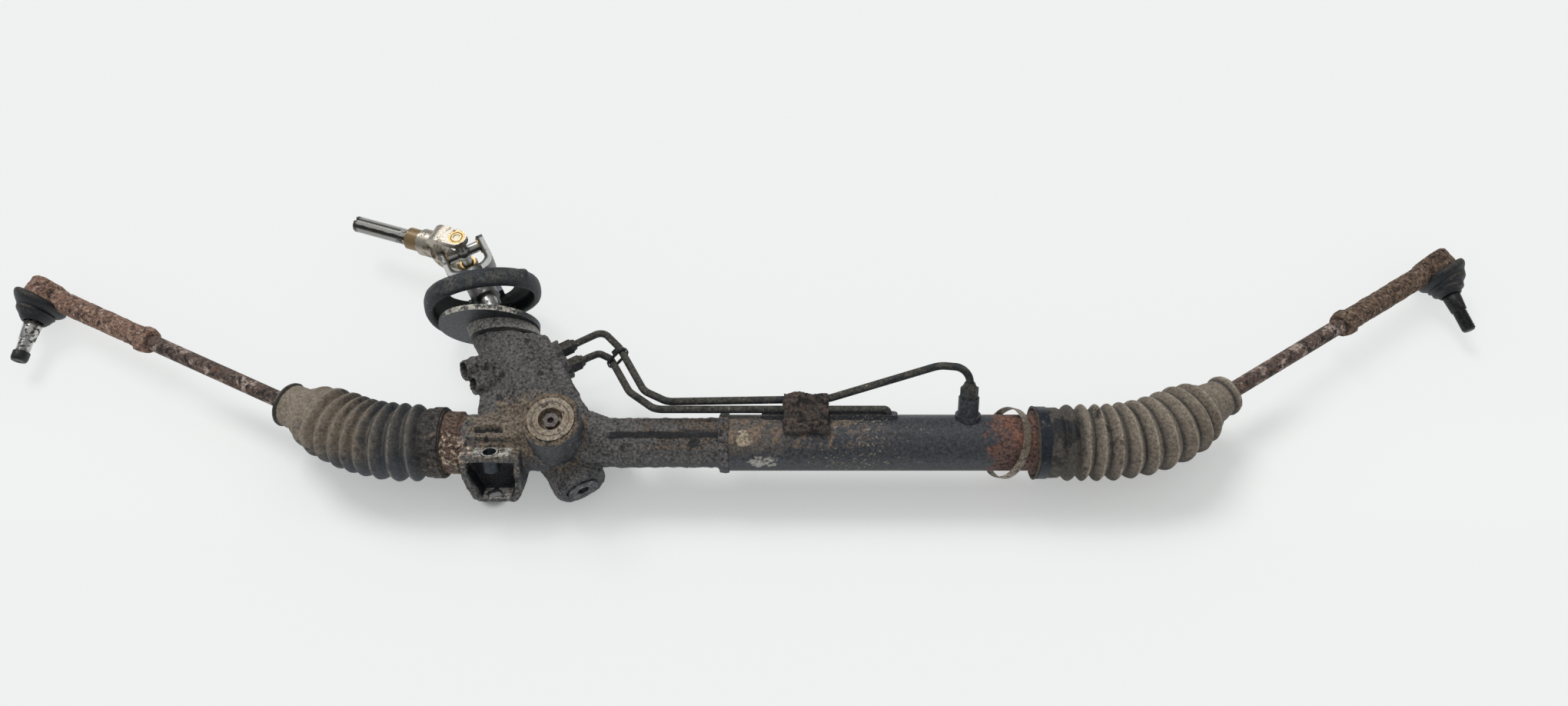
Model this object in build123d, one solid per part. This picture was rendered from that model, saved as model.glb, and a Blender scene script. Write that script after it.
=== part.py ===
from build123d import *
import os
from math import acos, atan, cos, degrees, pi, radians, sin, tan

# Hydraulic power steering rack of a car, as it lies on a floor after removal.
# Millimetres. +X runs along the rack bar to the cylinder end, +Y to the back,
# +Z up from the floor. The origin is the middle of the mounting bolt's bore.
#
# Most pieces are drawn in the rack frame: X is the rack bar's axis, Z points
# out of the yoke cover, and the pinion crosses below the bar at X = 0.
# The tie rods are drawn along their own axes, outwards from the inner balls.

# How the rack lies
ROLL = 3.0  # the yoke leans this far to the front
LEFT_SWING = 25.9  # tie rods swung to the back, degrees from the rack axis
RIGHT_SWING = 32.4
ROD_DROOP = 3.9  # tie rods slope down to the floor
STUD_DROOP = 8.0  # ball studs point to the front and this far down
LEFT_STUD_TILT = 20.0  # studs tilted in their housings
RIGHT_STUD_TILT = 18.0

# Clearances, all radial
FIT = 0.03  # pressed, threaded and brazed pieces
RUN = 0.05  # bearings, balls and sliding pieces
GAP = 0.35  # pieces that only lie close to each other

# Rack bar and teeth
PIVOT_LEFT = -154.5  # inner ball centres on the rack axis
PIVOT_RIGHT = 488.5
BAR_R = 12.0
MODULE = 2.0
PINION_TEETH = 7
PRESSURE = 20.0
SHIFT = 0.45  # profile shift that keeps seven teeth from being undercut
TIP_FLAT = 8.6  # rack tooth tips below the bar's axis
BACKLASH = 0.16
ROOT_PLAY = 0.4
FIRST_GAP = -10  # tooth gaps counted from the one over the pinion
LAST_GAP = 17
BAR_THREAD_R = 7.0
BAR_THREAD_LEN = 20.0

# Pinion, valve and input shaft, placed along the pinion axis
PINION_LEAN = 29.0  # from square to the rack, towards the left end
TOOTH_LEN = 36.0
JOURNAL_R = 6.4
JOURNAL_END = -34.0
COLLAR_R = 10.0
BEARING_START = 24.0
BEARING_WIDTH = 11.0
BALL_COUNT = 9
BALL_R = 3.0
DRIVE_FLANGE_R = 17.0
DRIVE_FLANGE_START = 42.0
DRIVE_FLANGE_END = 47.0
SLEEVE_START = 48.0
SLEEVE_END = 98.0
SLEEVE_R = 18.4
SLEEVE_BORE_R = 13.0
RING_COUNT = 4
RING_WIDTH = 2.0
VALVE_BORE_R = 20.0
TORSION_R = 4.4
TORSION_END_R = 5.2
INPUT_R = 10.0
SPLINE_R = 8.5
SPLINE_START = 150.0

# Valve housing and yoke
TOWER_R = 30.0
TOWER_WAIST_AT = -14.0  # heights along the pinion axis
TOWER_FLARE_AT = 16.0
TOWER_FULL_AT = 40.0
TOWER_TOP = 100.0
TOWER_STEP = 6.0
LOWER_BOSS_R = 22.0
LOWER_BOSS_END = -40.0
CAP_R = 13.0
LOWER_BEARING_R = 11.0
TOOTH_BORE_R = 11.4
COVER_R = 28.0
COVER_BOSS_R = 13.5
COVER_TOP = 146.0
COVER_SPIGOT_FROM = 101.0
NECK_HIGH = 12.5  # between the casting and the dust disc
SEAL_LEN = 8.0
WEB_CORNERS = ((-70, 0), (-72, 62), (-76, 84), (-60, 100), (-20, 101), (11, 46), (22, 28), (46, 19), (46, 0))
WEB_ROUND = 6.0
WEB_HALF = 17.0  # half its thickness
WEB_RAISE = 3.0  # its middle above the pinion axis
YOKE_TOP = 46.5
YOKE_BOSS_R = 23.5
YOKE_R = 16.0
PLUG_R = 19.0
PLUG_LEN = 13.0
PLUG_RECESS_R = 9.8
PLUG_RECESS_DEEP = 6.5
ADJUSTER_FLATS = 11.5
SPRING_R = 6.5
SPRING_WIRE_R = 1.3
SPRING_TURNS = 3.5

# Housing barrel, cylinder and piston, placed along the rack
HOUSING_LEFT = -104.0
LEFT_END_R = 26.0
LEFT_END_LEN = 24.0
BARREL_R = 20.5
RIB_START = 20.0
RIBS = ((14.0, 12.0, 17.0), (8.0, -22.5, -18.0))  # half width, lower and upper face
RACK_BORE_R = 13.5
STOP_DEEP = 28.0  # the counterbore that an inner socket enters
TUBE_START = 141.0
TUBE_END = 394.0
TUBE_R = 23.3
TUBE_BORE_R = 20.0
SPIGOT_LEN = 18.0
COLLAR_LEN = 8.0
COLLAR_OUT = 1.4  # the cast collar stands proud of the tube
END_CAP_R = 26.5
END_CAP_LEN = 12.0
END_CAP_OVER = 10.0  # how far the end cap reaches past the tube
BUSH_START = 352.0
BUSH_LEN = 18.0
PISTON_AT = 275.0
PISTON_LEN = 14.0
PISTON_R = 19.7
PISTON_RING_LEN = 3.0
PISTON_RING_DEEP = 1.8
BAND_AT = 371.0
BAND_R = 29.0
BAND_WIDTH = 7.0
BAND_THICK = 0.8
BAND_TILT = 27.0

# Mounting bracket
BOLT_X = -52.0
BOLT_OUT = 27.0  # bolt axis in front of the rack axis
BOLT_LEAN = 34.0  # bolt axis from the yoke's axis, top towards the back
BOLT_R = 5.5
BRACKET_TOP = 8.5  # faces along the bolt, from the rack axis
BRACKET_FOOT = -32.0
FLANGE_THICK = 3.6
TOP_FLANGE_THICK = 6.0
BRACKET_LEFT = 24.0  # half widths from the bolt, at the top and at the foot
BRACKET_RIGHT = 25.0
FOOT_LEFT = 15.0
FOOT_RIGHT = 21.0
FOOT_ROUND = 8.0
BRACKET_SIDE = 5.5  # thickness of the side walls
BRACKET_FRONT = 35.0
WINDOW_BACK = 18.5
HEAD_IN = 3.0  # the raised back of the bracket, drawn in from its sides
HEAD_HIGH = 10.0
SLOT_HALF = 12.0
SLOT_FRONT = -20.0
SLOT_WIDE = 6.0
SLOT_HIGH = 3.5
BUSH_R = 7.0
BUSH_HANG = 11.0

# Pipes and ports
PIPE_R = 3.175
PORT_A_AT = 88.0  # along the pinion axis
PORT_B_AT = 70.0
PORT_OUT = 38.0  # port face from the pinion axis
PORT_BOSS_R = 10.0
NUT_FLATS = 13.0
NUT_LEN = 9.0
CYLINDER_PORT_AT = 338.0
CYLINDER_PORT_ANGLE = 50.0
PORT_TOWER_R = 8.5
PORT_TOWER_LEN = 18.0
DUCT_START = 168.0
DUCT_END = 280.0
DUCT_HIGH = 3.9
DUCT_WIDE = 9.0
FEED_AT = 98.0
RETURN_AT = 81.0
FEED_OUT = 50.0
RETURN_OUT = 48.0
FEED_BOSS_R = 10.5
NOSE_LEN = 7.0
NOSE_WALL = 2.2
FEED_THREAD_R = 7.0
RETURN_THREAD_R = 6.0
THREAD_DEEP = 12.0
FEED_RISE = 26.0  # these ports point to the left and this far up
CLAMP_START = 186.0
CLAMP_END = 223.0
CLAMP_FRONT = -3.0
CLAMP_BACK = 33.0
CLAMP_LOW = 18.0
CLAMP_HIGH = 28.2
PIPE_A_NUT_OUT = 20.0  # straight through the nut, then the bends in order
PIPE_A_BENDS = ((26, 112, -11), (43, 92, -5), (69, 41, 14))
PIPE_A_ROW = ((90, 7.0), (222, 9.5))  # along the rack, behind the duct line
PIPE_A_RISE = (314, 50, 43)
PIPE_A_DROP = 26.0  # above the cylinder port
PIPE_A_RADII = (12, 12, 14, 22, 14, 30, 22, 12)
PIPE_B_NUT_OUT = 18.0
PIPE_B_BENDS = ((24, 91, -13), (35, 84, -10), (55, 46, 2))
PIPE_B_ROW_AT = 80.0
PIPE_B_RADII = (9, 8, 9, 22, 14, 3.4)

# Dust disc and bulkhead seal
DISC_CENTRE = (-75.0, 117.0, -13.0)
DISC_YAW = -1.0
DISC_PITCH = 7.0
DISC_R = 44.0
DISC_THICK = 2.5
DISC_RIM = 5.0
SEAL_CENTRE = (-84.0, 146.5, -9.5)
SEAL_YAW = -13.0
SEAL_PITCH = 12.0
SEAL_R = 51.5
SEAL_WALL = 5.0
SEAL_HIGH = 17.0
SEAL_LIP_R = 36.0
TONGUE_LOW = (-92.0, 124.0, -56.2)  # corners of the tongue under the seal
TONGUE_HIGH = (-76.0, 150.0, -53.2)

# Universal joint and column shaft
CROSS_AT = 226.0
SHAFT_YAW = 70.0  # column shaft from +Y towards the left end
SHAFT_DROOP = 5.5
SHAFT_LEN = 115.0
SHAFT_R = 7.5
KEY_DEEP = 2.0
KEY_WIDTH = 3.2
KEY_SHORT = 8.0  # the groove ends this far from the yoke
EAR_R = 9.0
EAR_OUT = 22.0
EAR_IN = 16.0
CROTCH = 24.0
YOKE_BASE = 31.0
HUB_R = 12.5
HUB_LEN = 26.0
SHAFT_HUB_R = 10.2  # the collar that holds the column shaft
SHAFT_SEAT_R = 6.8  # the shaft inside the yoke
SHAFT_HUB_LEN = 15.0
ARM_R = 5.0
ARM_LEN = 20.3
CUP_R = 7.5
CUP_IN = 14.8
PINCH_OUT = 13.6
PINCH_HALF = 11.0
PINCH_R = 4.0

# Inner joints, tie rods and outer ends
INNER_BALL_R = 14.0
SEAT_WALL = 1.5
SOCKET_R = 18.5
SOCKET_BACK = 24.0
SOCKET_LIP = 6.0
SEAT_MOUTH = 47.0  # half angle of the seat's opening
NECK_R = 6.0
NECK_LEN = 34.0
ROD_R = 7.0
ROD_END = 298.0  # threaded end, from the inner ball's centre
LEFT_LEN = 379.0  # inner ball to outer ball, as the toe was last set
RIGHT_LEN = 364.0
END_LEN = 118.0  # outer end, from its open end to the ball
BORE_SPARE = 6.0  # the bore goes this far past the rod's end
END_SLEEVE_R = 9.8
CUP_OFFSET = 5.0  # the ball sits this far off the rod's axis
LOCK_NUT_FLATS = 21.0
LOCK_NUT_LEN = 12.0
OUTER_BALL_R = 12.0
CUP_HOUSING_R = 17.8
CUP_BACK = 16.5
CUP_LIP = 7.0
CUP_BEVEL = 3.0
OUTER_SEAT_MOUTH = 58.0
STUD_NECK_R = 6.4
STUD_TAPER_R = 8.0
STUD_TAPER_START = 24.0
STUD_TAPER_END = 42.0
STUD_THREAD_R = 6.0
STUD_LEN = 62.0
BOOT_R = 22.4

# Bellows
BELLOWS_R = 31.5
BELLOWS_WALL = 2.0
CUFF_LEN = 18.0
CUFF_OVER = 10.0
LEFT_SMALL_AT = 84.0  # start of the small end, along the tie rod from the inner ball
RIGHT_SMALL_AT = 77.0
BELLOWS_SMALL_R = 14.0
SMALL_END_LEN = 14.0
RIM_R = 17.5
RIM_LEN = 4.0
SHOULDER_LEN = 35.0  # from the last full fold to the small end
CLAMP_WIDTH = 8.0
CLAMP_THICK = 1.2

# Worked out from the sizes above
PITCH = pi * MODULE
LEAN = radians(PINION_LEAN)
PITCH_R = PINION_TEETH * MODULE / (2 * cos(LEAN))
RACK_ADDENDUM = MODULE * (1 - SHIFT)
PINION_TIP_R = PITCH_R + 1.25 * MODULE
PINION_ROOT_R = PITCH_R - RACK_ADDENDUM - ROOT_PLAY
PINION_DROP = TIP_FLAT - RACK_ADDENDUM + PITCH_R
RACK_ROOT = TIP_FLAT - RACK_ADDENDUM - (PINION_TIP_R - PITCH_R) - ROOT_PLAY
PINION_TOOTH = MODULE * (pi / 2 + 2 * SHIFT * tan(radians(PRESSURE)))
RACK_TOOTH = PITCH - PINION_TOOTH - BACKLASH
INNER_SEAT_R = INNER_BALL_R + SEAT_WALL
OUTER_SEAT_R = OUTER_BALL_R + SEAT_WALL
PIPE_ROW = TUBE_R + DUCT_HIGH + PIPE_R

PINION_DIR = Vector(-sin(LEAN), cos(LEAN), 0)
ACROSS_DIR = Vector(cos(LEAN), sin(LEAN), 0)
PINION_FRAME = Plane(origin=(0, 0, -PINION_DROP), x_dir=ACROSS_DIR, z_dir=PINION_DIR)
BOLT_DIR = Vector(0, sin(radians(BOLT_LEAN)), cos(radians(BOLT_LEAN)))
BOLT_FRAME = Plane(origin=(BOLT_X, 0, 0), x_dir=(1, 0, 0), z_dir=BOLT_DIR)


def facing(yaw, pitch):
    """Unit vector turned by yaw from +Y towards +X, then raised by pitch."""
    return Vector(
        sin(radians(yaw)) * cos(radians(pitch)),
        cos(radians(yaw)) * cos(radians(pitch)),
        sin(radians(pitch)),
    )


DISC_FRAME = Plane(origin=DISC_CENTRE, z_dir=facing(DISC_YAW, DISC_PITCH))
SEAL_FRAME = Plane(origin=SEAL_CENTRE, z_dir=facing(SEAL_YAW, SEAL_PITCH))
SHAFT_DIR = facing(-SHAFT_YAW, -SHAFT_DROOP)
CROSS_CENTRE = PINION_FRAME.origin + PINION_DIR * CROSS_AT
UPPER_ARM_DIR = ACROSS_DIR.cross(SHAFT_DIR).normalized()
LOWER_YOKE_FRAME = Plane(origin=CROSS_CENTRE, x_dir=ACROSS_DIR, z_dir=PINION_DIR)
UPPER_YOKE_FRAME = Plane(origin=CROSS_CENTRE, x_dir=UPPER_ARM_DIR, z_dir=-SHAFT_DIR)


def rod(start, end, radius):
    """Cylinder on Z between two heights."""
    return Pos(0, 0, (start + end) / 2) * Cylinder(radius, end - start)


def taper(start, end, start_r, end_r):
    """Cone on Z between two heights."""
    return Pos(0, 0, (start + end) / 2) * Cone(start_r, end_r, end - start)


def hexagon(start, end, flats):
    """Hexagonal bar on Z between two heights."""
    outline = RegularPolygon(flats / 2, 6, major_radius=False)
    return Pos(0, 0, start) * extrude(outline, end - start)


def box(low, high):
    """Box between two corners."""
    size = [b - a for a, b in zip(low, high)]
    middle = [(a + b) / 2 for a, b in zip(low, high)]
    return Pos(*middle) * Box(*size)


def turned(points):
    """Solid turned about Z from an outline of (radius, height) points."""
    outline = Polyline(*[(r, 0, z) for r, z in points], close=True)
    return revolve(make_face(outline), Axis.Z)


def along_x(start, end, radius):
    """Cylinder on the rack axis."""
    return Rot(0, 90, 0) * rod(start, end, radius)


def on_pinion(shape):
    return PINION_FRAME.location * shape


def involute(angle):
    return tan(angle) - angle


# Rack and pinion


def rack_bar():
    """Round bar with straight teeth below, a clear bore thread in each end."""
    left_end = PIVOT_LEFT + SOCKET_BACK
    right_end = PIVOT_RIGHT - SOCKET_BACK
    bar = along_x(left_end, right_end, BAR_R)
    toothed_from = (FIRST_GAP - 0.5) * PITCH
    toothed_to = (LAST_GAP + 0.5) * PITCH
    bar -= box((toothed_from, -BAR_R, -BAR_R), (toothed_to, BAR_R, -TIP_FLAT))
    slope = tan(radians(PRESSURE))
    pitch_line = TIP_FLAT - RACK_ADDENDUM
    half_gap = (PITCH - RACK_TOOTH) / 2
    mouth = half_gap + (BAR_R - pitch_line) * slope
    root = half_gap - (pitch_line - RACK_ROOT) * slope
    outline = Polyline(
        (-mouth, 0, -BAR_R),
        (mouth, 0, -BAR_R),
        (root, 0, -RACK_ROOT),
        (-root, 0, -RACK_ROOT),
        close=True,
    )
    gap = extrude(make_face(outline), BAR_R, both=True)
    for number in range(round(FIRST_GAP), round(LAST_GAP) + 1):
        bar -= Pos(number * PITCH, 0, 0) * gap
    bar -= along_x(left_end - 1, left_end + BAR_THREAD_LEN + 2, BAR_THREAD_R)
    bar -= along_x(right_end - BAR_THREAD_LEN - 2, right_end + 1, BAR_THREAD_R)
    return bar


def pinion_outline():
    """Cross-section of the helical pinion, one tooth pointing to the rack."""
    across = atan(tan(radians(PRESSURE)) / cos(LEAN))
    base_r = PITCH_R * cos(across)
    half_at_pitch = PINION_TOOTH / cos(LEAN) / 2 / PITCH_R

    def half_angle(radius):
        local = acos(min(1.0, base_r / radius))
        return half_at_pitch + involute(across) - involute(local)

    flank_steps = 3
    radii = [base_r + (PINION_TIP_R - base_r) * n / flank_steps for n in range(flank_steps + 1)]
    flank = [(PINION_ROOT_R, half_angle(base_r))] + [(r, half_angle(r)) for r in radii]
    points = []
    for tooth in range(PINION_TEETH):
        middle = 2 * pi * tooth / PINION_TEETH - pi / 2
        for radius, half in flank:
            points.append((radius * cos(middle - half), radius * sin(middle - half)))
        for radius, half in reversed(flank):
            points.append((radius * cos(middle + half), radius * sin(middle + half)))
    return Polyline(*points, close=True).wire()


def pinion():
    twist = TOOTH_LEN * tan(LEAN) / PITCH_R
    section = Rot(0, 0, -degrees(twist) / 2) * pinion_outline()
    teeth = Solid.extrude_linear_with_rotation(section, (0, 0, 0), (0, 0, TOOTH_LEN), degrees(twist))
    body = Pos(0, 0, -TOOTH_LEN / 2) * Part([teeth])
    body += rod(JOURNAL_END, -TOOTH_LEN / 2 + 0.5, JOURNAL_R)
    body += rod(TOOTH_LEN / 2 - 0.5, DRIVE_FLANGE_START, COLLAR_R)
    body += rod(DRIVE_FLANGE_START, DRIVE_FLANGE_END, DRIVE_FLANGE_R)
    body -= rod(TOOTH_LEN / 2 + 2, DRIVE_FLANGE_END + 1, TORSION_END_R + FIT)
    return on_pinion(body)


def torsion_bar():
    top = CROSS_AT - YOKE_BASE - 4
    bar = rod(TOOTH_LEN / 2 + 2.5, top, TORSION_R)
    bar += rod(TOOTH_LEN / 2 + 2.5, TOOTH_LEN / 2 + 14, TORSION_END_R)
    bar += rod(top - 14, top, TORSION_END_R)
    return on_pinion(bar)


def ring_grooves():
    """Heights of the four sealing rings on the valve sleeve."""
    step = (SLEEVE_END - SLEEVE_START) / RING_COUNT
    return [SLEEVE_START + step * (n + 0.5) for n in range(RING_COUNT)]


def valve_sleeve():
    sleeve = rod(SLEEVE_START, SLEEVE_END, SLEEVE_R) - rod(SLEEVE_START - 1, SLEEVE_END + 1, SLEEVE_BORE_R)
    ports = []
    for height in ring_grooves():
        sleeve += rod(height - RING_WIDTH, height + RING_WIDTH, VALVE_BORE_R - RUN) - rod(
            height - RING_WIDTH, height + RING_WIDTH, SLEEVE_R - 0.5
        )
        ports.append(height + 2.5 * RING_WIDTH)
    for height in ports[:-1]:
        sleeve -= Pos(0, 0, height) * Rot(90, 0, 0) * Cylinder(1.6, 3 * SLEEVE_R)
    return on_pinion(sleeve)


def input_shaft():
    top = CROSS_AT - YOKE_BASE + 1
    shaft = rod(SLEEVE_START + 0.5, SLEEVE_END + 3, SLEEVE_BORE_R - RUN)
    shaft += rod(SLEEVE_END + 3, SPLINE_START, INPUT_R)
    shaft += rod(SPLINE_START, top, SPLINE_R)
    shaft -= rod(0, CROSS_AT, TORSION_END_R + RUN)
    return on_pinion(shaft)


def bearing_middle_r():
    return (COLLAR_R + VALVE_BORE_R) / 2


def upper_bearing_outer():
    end = BEARING_START + BEARING_WIDTH
    race = rod(BEARING_START, end, VALVE_BORE_R - FIT)
    race -= rod(BEARING_START - 1, end + 1, bearing_middle_r() + 1.6)
    race -= raceway(BALL_R + RUN)
    return on_pinion(race)


def raceway(radius):
    middle = BEARING_START + BEARING_WIDTH / 2
    return Pos(0, 0, middle) * Torus(bearing_middle_r(), radius)


def upper_bearing_inner():
    """Inner race with its balls, which turn with the pinion."""
    end = BEARING_START + BEARING_WIDTH
    race = rod(BEARING_START, end, bearing_middle_r() - 1.6)
    race -= rod(BEARING_START - 1, end + 1, COLLAR_R + FIT)
    race -= raceway(BALL_R + RUN)
    middle = BEARING_START + BEARING_WIDTH / 2
    balls = [
        Rot(0, 0, 360 / BALL_COUNT * n) * Pos(bearing_middle_r(), 0, middle) * Sphere(BALL_R)
        for n in range(BALL_COUNT)
    ]
    return Compound([on_pinion(piece) for piece in [race, *balls]])


def lower_bearing():
    ring = rod(JOURNAL_END, -TOOTH_LEN / 2 - 2, LOWER_BEARING_R - FIT)
    ring -= rod(JOURNAL_END - 1, 0, JOURNAL_R + RUN)
    return on_pinion(ring)


def pinion_cap():
    """Threaded plug that closes the lower pinion bore, with a hexagon recess."""
    plug = rod(LOWER_BOSS_END - 1.5, JOURNAL_END - 1, CAP_R - FIT)
    plug -= hexagon(LOWER_BOSS_END - 2.5, LOWER_BOSS_END + 1.5, 10)
    return on_pinion(plug)


# Housing


def web_outline():
    """Plan of the cast web between the valve tower and the barrel."""
    face = make_face(Polyline(*WEB_CORNERS, close=True))
    rounded = [v for v in face.vertices() if v.Y > 1]
    return fillet(rounded, WEB_ROUND)


def bracket_plan(inset, top, foot):
    """Outline of the bracket seen from the front, drawn in by inset."""
    corners = (
        (-BRACKET_LEFT + inset, 0, top),
        (-BRACKET_LEFT + inset, 0, foot / 3),
        (-FOOT_LEFT + inset, 0, foot),
        (FOOT_RIGHT - inset, 0, foot),
        (BRACKET_RIGHT - inset, 0, foot * 2 / 3),
        (BRACKET_RIGHT - inset, 0, top),
    )
    return make_face(Polyline(*corners, close=True))


def mounting_bracket():
    """Cast box, open to the front, that the mounting bolt passes through."""
    foot = BRACKET_FOOT - FLANGE_THICK
    block = extrude(bracket_plan(0, BRACKET_TOP, foot), BRACKET_FRONT, dir=(0, -1, 0))
    low_edges = block.edges().filter_by(Axis.Y).group_by(Axis.Z)[0]
    block = fillet(low_edges, FOOT_ROUND)
    head = box(
        (-BRACKET_LEFT + HEAD_IN, -BOLT_OUT + BUSH_R, 0),
        (BRACKET_RIGHT - HEAD_IN, 0, BRACKET_TOP + HEAD_HIGH),
    )
    head = fillet(head.edges().filter_by(Axis.Y), HEAD_IN)
    window = extrude(
        bracket_plan(BRACKET_SIDE, BRACKET_TOP - TOP_FLANGE_THICK, BRACKET_FOOT),
        BRACKET_FRONT + 1,
        dir=(0, -1, 0),
    )
    window = fillet(window.edges().filter_by(Axis.Y), 2.5)
    window -= box((-BRACKET_LEFT, -WINDOW_BACK, foot), (BRACKET_RIGHT, 1, BRACKET_TOP))
    slot_low = BRACKET_TOP + HEAD_IN
    slot = box((-SLOT_HALF, SLOT_FRONT, slot_low), (SLOT_HALF, SLOT_FRONT + SLOT_WIDE, slot_low + SLOT_HIGH))
    return BOLT_FRAME.location * (block + head - window - slot)


def bolt_cut(radius, start, end):
    return BOLT_FRAME.location * Pos(0, -BOLT_OUT, 0) * rod(start, end, radius)


def port_frame(height):
    """Frame of a pipe port: Z points out of the valve tower to the right."""
    place = PINION_FRAME.origin + PINION_DIR * height
    return Plane(origin=place, x_dir=PINION_DIR, z_dir=ACROSS_DIR)


def feed_ports():
    """Height along the pinion axis, reach and thread radius of both ports."""
    return ((FEED_AT, FEED_OUT, FEED_THREAD_R), (RETURN_AT, RETURN_OUT, RETURN_THREAD_R))


def feed_frame(height):
    """Frame of a feed or return port: Z points to the left and up."""
    rise = radians(FEED_RISE)
    out = ACROSS_DIR * -cos(rise) + Vector(0, 0, sin(rise))
    place = PINION_FRAME.origin + PINION_DIR * height
    return Plane(origin=place, x_dir=PINION_DIR, z_dir=out)


def valve_tower():
    low = LOWER_BOSS_END
    return turned(
        (
            (0, low),
            (LOWER_BOSS_R - 3, low),
            (LOWER_BOSS_R, low + 4),
            (LOWER_BOSS_R + 1, TOWER_WAIST_AT),
            (TOWER_R - 1, TOWER_FLARE_AT),
            (TOWER_R, TOWER_FULL_AT),
            (TOWER_R, TOWER_TOP),
            (COVER_R, TOWER_TOP + TOWER_STEP),
            (COVER_R, COVER_TOP),
            (0, COVER_TOP),
        )
    )


def rack_housing():
    """The casting: barrel, valve tower, yoke boss, ports and bracket."""
    cast = along_x(HOUSING_LEFT, TUBE_START, BARREL_R)
    cast += along_x(HOUSING_LEFT, HOUSING_LEFT + LEFT_END_LEN, LEFT_END_R)
    cast += along_x(HOUSING_LEFT + LEFT_END_LEN - 4, 8, BARREL_R + 3)
    cast += along_x(TUBE_START - COLLAR_LEN, TUBE_START, TUBE_R + COLLAR_OUT)
    cast += along_x(TUBE_START - 1, TUBE_START + SPIGOT_LEN, TUBE_BORE_R - FIT)
    for half_wide, low, high in RIBS:
        cast += box((RIB_START, -half_wide, low), (TUBE_START - COLLAR_LEN, half_wide, high))
    cast += on_pinion(valve_tower())
    slab = extrude(web_outline(), WEB_HALF, both=True)
    cast += Pos(0, 0, -PINION_DROP + WEB_RAISE) * slab
    cast -= above_disc_plane(NECK_HIGH)
    cast += rod(0, YOKE_TOP, YOKE_BOSS_R)
    cast += mounting_bracket()
    for height in (PORT_A_AT, PORT_B_AT):
        cast += port_frame(height).location * taper(0, PORT_OUT, PORT_BOSS_R + 3, PORT_BOSS_R)
    for height, out, thread_r in feed_ports():
        cast += feed_frame(height).location * rod(0, out - NOSE_LEN, FEED_BOSS_R)
        cast += feed_frame(height).location * rod(0, out, thread_r + NOSE_WALL)
    return cast - housing_bores()


def housing_bores():
    bores = along_x(HOUSING_LEFT - 1, TUBE_START + SPIGOT_LEN + 1, RACK_BORE_R)
    bores += along_x(HOUSING_LEFT - 1, HOUSING_LEFT + STOP_DEEP, TUBE_BORE_R)
    bores += along_x(TUBE_START + 7, TUBE_START + SPIGOT_LEN + 1, YOKE_R)
    bores += on_pinion(rod(LOWER_BOSS_END - 1, JOURNAL_END, CAP_R))
    bores += on_pinion(rod(JOURNAL_END - 1, -TOOTH_LEN / 2, LOWER_BEARING_R))
    bores += on_pinion(rod(-TOOTH_LEN / 2 - 1, BEARING_START, TOOTH_BORE_R))
    bores += on_pinion(rod(BEARING_START, COVER_TOP, VALVE_BORE_R))
    bores += rod(0, YOKE_TOP + 1, YOKE_R)
    bores += rod(YOKE_TOP - PLUG_LEN, YOKE_TOP + 1, PLUG_R)
    foot = BRACKET_FOOT - FLANGE_THICK
    bores += bolt_cut(BOLT_R, foot - 1, BRACKET_FOOT + 1)
    bush_low = BRACKET_TOP - TOP_FLANGE_THICK - BUSH_HANG
    bores += bolt_cut(BUSH_R, bush_low, BRACKET_TOP + 20)
    bores += bolt_cut(BOLT_R + GAP, BRACKET_FOOT, bush_low + 1)
    for height in (PORT_A_AT, PORT_B_AT):
        bores += port_frame(height).location * rod(0, PORT_OUT + 1, PIPE_R + 1.2)
    for height, out, thread_r in feed_ports():
        bores += feed_frame(height).location * rod(0, out - THREAD_DEEP, thread_r - 3)
        bores += feed_frame(height).location * rod(out - THREAD_DEEP, out + 1, thread_r)
    return bores


def mount_bush():
    """Steel bush in the bracket's upper flange, hanging into the window."""
    low = BRACKET_TOP - TOP_FLANGE_THICK - BUSH_HANG
    bush = rod(low, BRACKET_TOP, BUSH_R - FIT) - rod(low - 1, BRACKET_TOP + 1, BOLT_R)
    return BOLT_FRAME.location * Pos(0, -BOLT_OUT, 0) * bush


def above_disc_plane(below):
    """All space behind a plane that lies this far in front of the disc."""
    reach = 4 * DISC_R
    space = Pos(0, 0, reach / 2) * Box(reach, reach, reach)
    return DISC_FRAME.location * Pos(0, 0, -DISC_THICK / 2 - below) * space


def valve_cover():
    """Turned neck over the valve bore, cut off oblique, flush with the disc."""
    neck = on_pinion(rod(COVER_SPIGOT_FROM, COVER_TOP, COVER_R)) & above_disc_plane(NECK_HIGH)
    neck += on_pinion(rod(COVER_SPIGOT_FROM, COVER_TOP, VALVE_BORE_R - FIT))
    neck -= above_disc_plane(FIT)
    neck += on_pinion(rod(COVER_SPIGOT_FROM, COVER_TOP, COVER_BOSS_R))
    bore = rod(COVER_SPIGOT_FROM - 1, COVER_TOP + 1, INPUT_R + RUN)
    bore += rod(COVER_TOP - SEAL_LEN, COVER_TOP + 1, COVER_BOSS_R - 1)
    return neck - on_pinion(bore)


def input_seal():
    start = COVER_TOP - SEAL_LEN
    ring = rod(start, COVER_TOP, COVER_BOSS_R - 1 - FIT) - rod(start - 1, COVER_TOP + 1, INPUT_R + RUN)
    return on_pinion(ring)


def rack_guide():
    """The yoke that presses the rack bar onto the pinion."""
    top = YOKE_TOP - PLUG_LEN - 0.5
    guide = rod(2.0, top, YOKE_R - FIT)
    guide -= along_x(-2 * YOKE_R, 2 * YOKE_R, BAR_R + RUN)
    guide -= rod(top - 12, top + 1, SPRING_R + SPRING_WIRE_R + 0.6)
    groove = rod(top - 5, top - 2.5, YOKE_R + 1) - rod(top - 6, top, YOKE_R - 1.8)
    return guide - groove


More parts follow.
